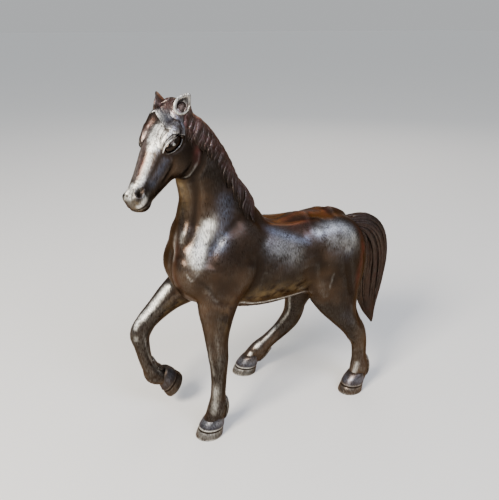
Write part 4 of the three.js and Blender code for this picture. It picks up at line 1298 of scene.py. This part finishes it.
def bronzeMaterial(name, eye=False):
    material = bpy.data.materials.new(name)
    material.use_nodes = True
    tree = material.node_tree
    shader = tree.nodes["Principled BSDF"]
    place = wire(tree, "TexCoord", {}, {}).outputs["Object"]
    surface = wire(tree, "NewGeometry", {}, {})
    look = bronzeLook

    def share(tinted):
        return Amount(tree, wire(tree, "Attribute", {"attribute_name": tinted}, {}).outputs["Fac"])

    patches = noise(tree, place, look["patches"])
    spots = noise(tree, place, look["spots"], detail=4.0)
    hair = noise(tree, place, look["hairs"], (1, 1, 0.2), 2.0)
    grain = noise(tree, place, look["grain"], detail=1.0)
    up = Amount(tree, wire(tree, "SeparateXYZ", {}, {0: surface.outputs["Normal"]}).outputs[2])
    convex = Amount(tree, surface.outputs["Pointiness"])
    worn = convex.above(0.5, 9)
    sunk = convex.above(0.5, -10)
    brown = patches.above(0.45, 3)
    dappled = spots.above(0.38, 3.4)
    brushed = hair.above(0.34, 2.6)

    colour = blended(tree, brown, look["black"], look["brown"])
    # painted warm reflection from below, speckled
    colour = blended(tree, share("olive") * dappled, colour, look["gold"])
    # red-brown patina, plus a painted reflection on faces that look upwards
    reddish = (share("reddish") + up * 0.2) * (0.3 + dappled * 0.7)
    colour = blended(tree, reddish, colour, look["red"])
    # painted sky reflection
    bluish = share("bluish") * (0.15 + brushed * 0.6 + dappled * 0.25)
    colour = blended(tree, bluish, colour, look["blue"])
    colour = blended(tree, worn * 0.35 * brushed, colour, look["silver"])
    # rubbed bronze and painted highlights
    silver = (share("rubbed") * (0.1 + dappled * 0.35 + brushed * 0.8)).kept()
    colour = blended(tree, silver, colour, look["silver"])
    # darker in hollows, and black where painted shade is asked for
    colour = blended(tree, (sunk * 0.85 + share("shadow") * 0.9).kept(), colour, look["black"])
    tree.links.new(colour, shader.inputs["Base Color"])
    tree.links.new((1 - silver * 0.6).socket, shader.inputs["Metallic"])
    shader.inputs["Specular Tint"].default_value = look["eyeEdge" if eye else "edge"]
    if eye:
        shader.inputs["Roughness"].default_value = look["eyeRoughness"]
    else:
        rough = look["roughness"] + share("rubbed") * 0.1 + share("shadow") * 0.2
        rough = (rough + (hair - 0.5) * 0.3 + (spots - 0.5) * 0.22).kept()
        tree.links.new(rough.socket, shader.inputs["Roughness"])
        height = hair + grain * 0.35 + spots * 0.6
        relief = {"Height": height, "Strength": look["bump"], "Distance": look["hairDepth"]}
        bump = wire(tree, "Bump", {}, relief)
        tree.links.new(bump.outputs[0], shader.inputs["Normal"])
    return material


bronze = bronzeMaterial("patinated bronze")
eyeBronze = bronzeMaterial("dark polished bronze", eye=True)
tintSkin(skin.data, pointsOf(skin.data))

for piece in pieces:
    setPoints(piece.data, toFrame(pointsOf(piece.data)))
    piece.data.shade_smooth()
    piece.data.materials.append(eyeBronze if piece in eyeballs else bronze)
    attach(piece, "root")
    print(piece.name, len(piece.data.polygons), "faces")


studio = {
    "floorSize": 40.0,
    "floorColour": (0.8, 0.75, 0.67, 1),
    "floorRoughness": 0.8,
    "cameraAt": (-0.174955, -0.31675, 0.262),
    "cameraTurn": (68, 0, -27),
    "lens": 40.32,
    # colours of the world by how high they stand over the horizon, the lowest like the far floor
    "sky": [(0.0, (0.583, 0.598, 0.61, 1)), (0.06, (0.587, 0.6, 0.615, 1)),
            (0.35, (0.74, 0.81, 0.92, 1))],
    "skyStrength": 0.85,
    "lampsAim": (0, 0, 0.12),
    # where each soft lamp stands, its size in metres, power in watts and colour
    "lamps": {
        "key": ((-0.75, -0.35, 0.75), 0.34, 18.5, (1, 0.97, 0.92)),
        "sky panel": ((0.15, -0.8, 1.0), 0.6, 9.0, (0.62, 0.72, 1)),
        "behind": ((0.6, 0.8, 0.7), 0.5, 2.2, (1, 0.92, 0.86)),
    },
}


def buildStudio():
    bm = bmesh.new()
    bmesh.ops.create_grid(bm, x_segments=1, y_segments=1, size=studio["floorSize"] / 2)
    floor = newPiece("floor", bm)
    pale = bpy.data.materials.new("pale floor")
    pale.use_nodes = True
    shader = pale.node_tree.nodes["Principled BSDF"]
    shader.inputs["Base Color"].default_value = studio["floorColour"]
    shader.inputs["Roughness"].default_value = studio["floorRoughness"]
    floor.data.materials.append(pale)
    camera = bpy.data.objects.new("camera", bpy.data.cameras.new("camera"))
    camera.location = studio["cameraAt"]
    camera.rotation_euler = [math.radians(angle) for angle in studio["cameraTurn"]]
    camera.data.lens = studio["lens"]
    bpy.context.scene.collection.objects.link(camera)
    bpy.context.scene.camera = camera
    world = bpy.data.worlds.new("studio")
    world.use_nodes = True
    tree = world.node_tree
    way = wire(tree, "TexCoord", {}, {}).outputs["Generated"]
    ramp = wire(tree, "ValToRGB", {}, {0: wire(tree, "SeparateXYZ", {}, {0: way}).outputs[2]})
    for i, (height, colour) in enumerate(studio["sky"]):
        stop = ramp.color_ramp.elements[i] if i < 2 else ramp.color_ramp.elements.new(height)
        stop.position = height
        stop.color = colour
    tree.links.new(ramp.outputs[0], tree.nodes["Background"].inputs["Color"])
    tree.nodes["Background"].inputs["Strength"].default_value = studio["skyStrength"]
    bpy.context.scene.world = world
    for name, (place, size, power, colour) in studio["lamps"].items():
        lamp = bpy.data.objects.new(name, bpy.data.lights.new(name, "AREA"))
        lamp.data.energy = power
        lamp.data.size = size
        lamp.data.color = colour
        lamp.location = place
        away = Vector(place) - Vector(studio["lampsAim"])
        lamp.rotation_euler = away.to_track_quat("Z", "Y").to_euler()
        bpy.context.scene.collection.objects.link(lamp)


buildStudio()
